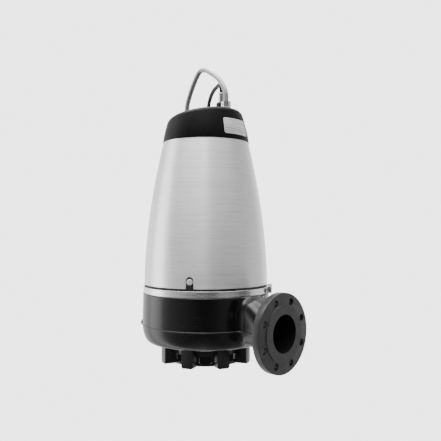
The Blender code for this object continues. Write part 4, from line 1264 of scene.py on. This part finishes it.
def add_screws():
    """The round screw in each slot, with its hexagon socket."""
    start = SLEEVE_BOTTOM_R - SLEEVE_WALL
    end = start + SCREW_RISE
    profile = [(0.0, end)] + [(radius, end - drop) for radius, drop in SCREW_DOME]
    profile += [(SCREW_DOME[-1][0], start), (0.0, start)]
    for number, angle in enumerate(SLOT_ANGLES, 1):
        socket = prism(hexagon(SCREW_SOCKET), end - SCREW_SOCKET_DEPTH, end + PAST)
        shape = carved(turned(profile, 48), socket, outward(angle, SCREW_HEIGHT))
        add(f"slot_screw_{number}", shape, "screw", f"sleeve_screw_{number}")


# Cover and plate

def cover_radius(height):
    if height >= COVER_CURVE_END:
        return COVER_CURVE_R - COVER_CONE_SLOPE * (height - COVER_CURVE_END)
    share = max(0.0, (height - COVER_BOTTOM) / (COVER_CURVE_END - COVER_BOTTOM))
    return COVER_BOTTOM_R - (COVER_BOTTOM_R - COVER_CURVE_R) * share ** COVER_CURVE


def pad_top(x, radius):
    return COVER_AXIS_HEIGHT + COVER_TOP_SLOPE * (x + radius) + PAD_RISE


def cover_pad(x, y, radius):
    """A level pad on the cover's slanting top."""
    top = pad_top(x, radius)
    edge = PAD_ROUNDING
    profile = [(0.0, COVER_CURVE_END), (radius, COVER_CURVE_END)]
    profile += arc((radius - edge, top - edge), edge, 0, 90, 3) + [(0.0, top)]
    return placed(turned(profile, 64), shift(x, y, 0))


def add_cover():
    """The black cover, cut by its slanting top, with a pad for each nut and for the gland."""
    curve_start = COVER_BOTTOM + COVER_LIP
    profile = [(0.0, COVER_BOTTOM), (COVER_BOTTOM_R - COVER_LIP, COVER_BOTTOM)]
    for step in range(COVER_CURVE_STEPS + 1):
        height = curve_start + (COVER_CURVE_END - COVER_BOTTOM - COVER_LIP) * step / COVER_CURVE_STEPS
        profile.append((cover_radius(height), height))
    peak = COVER_AXIS_HEIGHT + 2 * COVER_TOP_SLOPE * COVER_BOTTOM_R
    profile += [(cover_radius(peak), peak), (0.0, peak)]
    cone = turned(profile, 160)
    upward = Vector((-COVER_TOP_SLOPE, 0, 1)).normalized()
    everything = list(cone.verts) + list(cone.edges) + list(cone.faces)
    level = Vector((0, 0, COVER_AXIS_HEIGHT))
    cut = bmesh.ops.bisect_plane(cone, geom=everything, plane_co=level, plane_no=upward, clear_outer=True)
    rim = [item for item in cut["geom_cut"] if isinstance(item, bmesh.types.BMEdge)]
    bmesh.ops.holes_fill(cone, edges=rim, sides=0)
    bmesh.ops.bevel(cone, geom=rim, offset=COVER_ROUNDING, segments=10, profile=0.5, affect="EDGES")
    pads = [cover_pad(x, 0.0, NUT_PAD_R) for x in (BRACKET_FRONT_X, BRACKET_BACK_X)]
    pads.append(cover_pad(GLAND_X, GLAND_Y, GLAND_PAD_R))
    add("top_cover_shell", combine(cone, [("UNION", joined(pads))]), "cover", "top_cover")


def plate_point(across, rise, lift):
    """A point on the plate's face, from its sideways and upward place, raised by lift."""
    height = PLATE_BOTTOM + rise
    radius = cover_radius(height) + lift
    angle = across / COVER_CURVE_R
    return radius * math.cos(angle), radius * math.sin(angle), height


def plate_patch(left, right, low, high, bottom, top, corner=0.0):
    """A thin patch that follows the cover, with rounded corners where asked."""
    steps, rows, column_width = 6, 8, 0.004
    edge = [low]
    if corner:
        edge = [low + corner * (1 - math.cos(math.radians(90) * k / steps)) for k in range(steps + 1)]
    rises = edge + [low + corner + (high - low - 2 * corner) * k / rows for k in range(1, rows)]
    rises += [high - (rise - low) for rise in reversed(edge)]
    columns = max(2, round((right - left) / column_width))
    bm = bmesh.new()
    layers = []
    for lift in (bottom, top):
        grid = []
        for rise in rises:
            short = max(0.0, corner - min(rise - low, high - rise))
            inset = corner - math.sqrt(max(0.0, corner ** 2 - short ** 2))
            width = right - left - 2 * inset
            places = [left + inset + width * k / columns for k in range(columns + 1)]
            grid.append([bm.verts.new(plate_point(across, rise, lift)) for across in places])
        layers.append(grid)
    for grid in layers:
        for one, other in zip(grid, grid[1:]):
            for k in range(columns):
                bm.faces.new((one[k], one[k + 1], other[k + 1], other[k]))
    last = len(rises) - 1
    border = [(0, k) for k in range(columns)] + [(j, columns) for j in range(last)]
    border += [(last, k) for k in range(columns, 0, -1)] + [(j, 0) for j in range(last, 0, -1)]
    bridge(bm, *([grid[j][k] for j, k in border] for grid in layers))
    return bm


def add_plate():
    """The plate, bare but for the empty fields and lines that such plates have."""
    half = PLATE_WIDTH / 2
    plate = plate_patch(-half, half, 0.0, PLATE_HEIGHT, GAP, PLATE_FACE, PLATE_CORNER)
    add("name_plate_face", plate, "plate", "name_plate")
    left = PRINT_MARGIN - half
    right = half - PRINT_MARGIN
    low = PRINT_MARGIN
    high = PLATE_HEIGHT - PRINT_MARGIN
    boxes = [(left, right, low, high), (left, PRINT_SPLIT, PRINT_LEFT_BOTTOM, high)]
    boxes.append((PRINT_SPLIT, right, PRINT_RIGHT_BOTTOM, high))
    boxes += [(left, right, low + PRINT_ROW * k, low + PRINT_ROW * (k + 1)) for k in range(PRINT_ROWS)]
    lines = []
    thin = PRINT_LINE
    for x0, x1, z0, z1 in boxes:
        sides = [(x0, x1, z0, z0 + thin), (x0, x1, z1 - thin, z1)]
        sides += [(x0, x0 + thin, z0, z1), (x1 - thin, x1, z0, z1)]
        lines += [plate_patch(*side, PRINT_BOTTOM, PRINT_TOP) for side in sides]
    add("name_plate_lines", joined(lines), "print")


# Bracket and gland

def add_bracket():
    """The round-bar lifting bracket, its nuts and washers."""
    feet = [(x, pad_top(x, NUT_PAD_R)) for x in (BRACKET_FRONT_X, BRACKET_BACK_X)]
    points = [(BRACKET_FRONT_X, 0.0, feet[0][1] + GAP)]
    points += [(x, 0.0, COVER_AXIS_HEIGHT + rise) for x, rise in BRACKET_ROUTE]
    points += [(BRACKET_BACK_X, 0.0, feet[1][1] + NUT_HEIGHT), (BRACKET_BACK_X, 0.0, feet[1][1] + GAP)]
    bar = tube(smooth_route(points, BRACKET_STEP), BRACKET_BAR_R - BRACKET_SKIN, 8)
    add("lifting_bar", bar, "bar", "lifting_bracket")
    hole_r = BRACKET_BAR_R + NUT_PLAY
    for name, (x, height) in zip(("front", "back"), feet):
        nut = chamfered_hexagon(NUT_FLATS, height + NUT_BOTTOM, height + GAP + NUT_HEIGHT, hole_r)
        place = shift(x, 0, 0)
        add(f"bar_nut_{name}", placed(nut, place @ spoke(NUT_TURN)), "zinc", f"bracket_nut_{name}")
        washer = [
            (hole_r, height + WASHER_TOP), (WASHER_R - WASHER_CHAMFER, height + WASHER_TOP),
            (WASHER_R, height + WASHER_TOP - WASHER_CHAMFER), (WASHER_R, height + GAP),
            (hole_r, height + GAP),
        ]
        add(f"bar_washer_{name}", placed(turned(washer, 64, ring=True), place), "zinc")


def add_gland():
    """The cable gland and the metal sleeve that the cable comes out of."""
    bottom = pad_top(GLAND_X, GLAND_PAD_R) + GAP
    hex_top = bottom + GLAND_HEX_HEIGHT
    dome_r = GLAND_CAP_R - GLAND_SLEEVE_R
    place = shift(GLAND_X, GLAND_Y, 0)
    cap = [(0.0, GLAND_TOP), (GLAND_SLEEVE_R + GAP, GLAND_TOP)]
    cap += arc((GLAND_SLEEVE_R, GLAND_TOP - dome_r), dome_r, 80, 0, 6)
    cap += [(GLAND_CAP_R, hex_top - GLAND_CAP_SUNK), (0.0, hex_top - GLAND_CAP_SUNK)]
    body = combine(chamfered_hexagon(GLAND_FLATS, bottom, hex_top, 0.0), [("UNION", turned(cap, 64))])
    body.transform(place)
    add("gland_body", body, "gland", "cable_gland")
    pipe = [(0.0, GLAND_TOP + GAP), (GLAND_SLEEVE_R, GLAND_TOP + GAP)]
    pipe += [(GLAND_SLEEVE_R - depth, CABLE_EXIT - below) for depth, below in GLAND_GROOVE]
    add("gland_pipe", placed(turned(pipe + [(0.0, CABLE_EXIT)], 64), place), "chrome", "gland_sleeve")


# Foot

def add_foot():
    """The foot ring: a low wall with windows between eight legs, all with soft cast edges."""
    wall = hoop(FOOT_WALL_R, FOOT_WALL_INNER_R, FOOT_WALL_BOTTOM, FOOT_TOP, 96)
    leg = rounded_box(LEG_WIDTH, 0.0, FOOT_TOP + LEG_CORNER, LEG_CORNER)
    window = rounded_box(WINDOW_WIDTH, WINDOW_BOTTOM, WINDOW_TOP, WINDOW_CORNER)
    legs = []
    windows = []
    for k in range(LEGS):
        between = FOOT_TURN + 360 * k / LEGS
        legs.append(placed(prism(leg, FOOT_WALL_R - LEG_SUNK, FOOT_R), standing(between + 180 / LEGS)))
        cutter = prism(window, FOOT_WALL_INNER_R - WINDOW_PAST, FOOT_WALL_R + WINDOW_PAST)
        windows.append(placed(cutter, standing(between)))
    cap = upright(2 * FOOT_R, FOOT_TOP, FOOT_TOP + 2 * LEG_CORNER)
    tools = [("UNION", joined(legs)), ("DIFFERENCE", joined(windows)), ("DIFFERENCE", cap)]
    add("foot_casting", combine(wall, tools, bevel=FOOT_EDGE), "foot", "foot_ring")


def dress_kept_nodes():
    """CAD nodes whose shape stays, with a better finish."""
    for name, look in (
        ("motor_housing", "raw"), ("sleeve_seal", "seal"), ("suction_cover", "iron"), ("impeller", "raw")
    ):
        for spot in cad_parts[name].material_slots:
            spot.material = looks[look][1]


# Studio

def add_light():
    """A soft box over the pump, which neither the camera nor reflections see."""
    data = bpy.data.lights.new("top_box", "AREA")
    data.shape = "RECTANGLE"
    data.size = LIGHT_SIZE
    data.size_y = LIGHT_SIZE
    data.energy = LIGHT_POWER
    light = show(bpy.data.objects.new("top_box", data))
    light.location = polar(LIGHT_DISTANCE, CAMERA_ANGLE + LIGHT_TURN, LIGHT_HEIGHT)
    light.location.x += PUMP_X
    aim = Vector((PUMP_X, 0, LIGHT_AIM)) - light.location
    light.rotation_euler = aim.to_track_quat("-Z", "Y").to_euler()
    light.visible_camera = False
    light.visible_glossy = False


def room(tree):
    """Brightness of the reflected room, from walls that change round it and a bright ceiling."""
    place = node(tree, "TexCoord").outputs["Generated"]
    angle = math.radians(CAMERA_ANGLE)
    parts = []
    for way in ((math.cos(angle), math.sin(angle), 0), (-math.sin(angle), math.cos(angle), 0)):
        parts.append(node(tree, "VectorMath", [place, way], operation="DOT_PRODUCT").outputs["Value"])
    turn = spread(tree, calculate(tree, "ARCTAN2", parts[1], parts[0]), -math.pi, math.pi)
    height = node(tree, "SeparateXYZ", [place]).outputs["Z"]
    lift = spread(tree, height, -1.0, 1.0)
    walls = calculate(tree, "MULTIPLY", ramp(tree, turn, ROOM_ROUND), ramp(tree, lift, ROOM_WALLS))
    ceiling = calculate(tree, "MULTIPLY", ramp(tree, lift, ROOM_UP), ramp(tree, turn, ROOM_SIDE))
    return calculate(tree, "MAXIMUM", walls, ceiling)


def add_world():
    """White behind the pump, soft white light, and in reflections a room that is dark behind the camera."""
    world = bpy.data.worlds.new("studio")
    bpy.context.scene.world = world
    world.use_nodes = True
    tree = world.node_tree
    tree.nodes.clear()
    white = (1, 1, 1, 1)
    mirrored = node(tree, "Background", [None, room(tree)]).outputs["Background"]
    soft = node(tree, "Background", [white, SOFT_LIGHT]).outputs["Background"]
    seen = node(tree, "Background", [white, BACKDROP_GLOW]).outputs["Background"]
    path = node(tree, "LightPath").outputs
    unseen = node(tree, "MixShader", [path["Is Glossy Ray"], soft, mirrored]).outputs["Shader"]
    whole = node(tree, "MixShader", [path["Is Camera Ray"], unseen, seen]).outputs["Shader"]
    node(tree, "OutputWorld", [whole])


def floor_paint():
    """Pale paint that the camera sees as white as the backdrop, but for a disc of painted shadow under the
    pump.
    """
    made = Finish("floor_paint", (0.93, 0.93, 0.93), 0.9, specular=0.0)
    made.tint(made.noise(3.0), (0.92, 0.92, 0.92), (0.94, 0.94, 0.94))
    tree = made.tree
    # The painted shadow's disc is centred a little away from the camera
    away = polar(SHADE_SHIFT, CAMERA_ANGLE, 0.0)
    spot = node(tree, "VectorMath", [made.place, away], operation="ADD").outputs["Vector"]
    distance = node(tree, "VectorMath", [spot], operation="LENGTH").outputs["Value"]
    strength = spread(tree, distance, SHADE_R, SHADE_R + SHADE_EDGE, SHADE_GLOW, BACKDROP_GLOW)
    glow = node(tree, "Emission", [None, strength]).outputs["Emission"]
    camera_ray = node(tree, "LightPath").outputs["Is Camera Ray"]
    mix = node(tree, "MixShader", [camera_ray, made.shader.outputs["BSDF"], glow])
    tree.links.new(mix.outputs["Shader"], tree.nodes["Material Output"].inputs["Surface"])
    return made.material


def add_stage():
    """The round floor, the room round it and the light."""
    mesh = to_mesh(upright(FLOOR_R, -FLOOR_DEPTH, -FLOOR_DROP, 96))
    mesh.materials.append(floor_paint())
    floor = show(bpy.data.objects.new("floor", mesh))
    floor.location.x = PUMP_X
    floor.visible_glossy = False
    add_world()
    add_light()


add_camera()
looks = add_materials()
add_cable()
add_casting()
add_ridge()
add_inside()
add_plugs()
add_flange()
add_bore()
add_band()
add_closure()
add_sleeve()
add_screws()
add_cover()
add_plate()
add_bracket()
add_gland()
add_foot()
dress_kept_nodes()
add_stage()
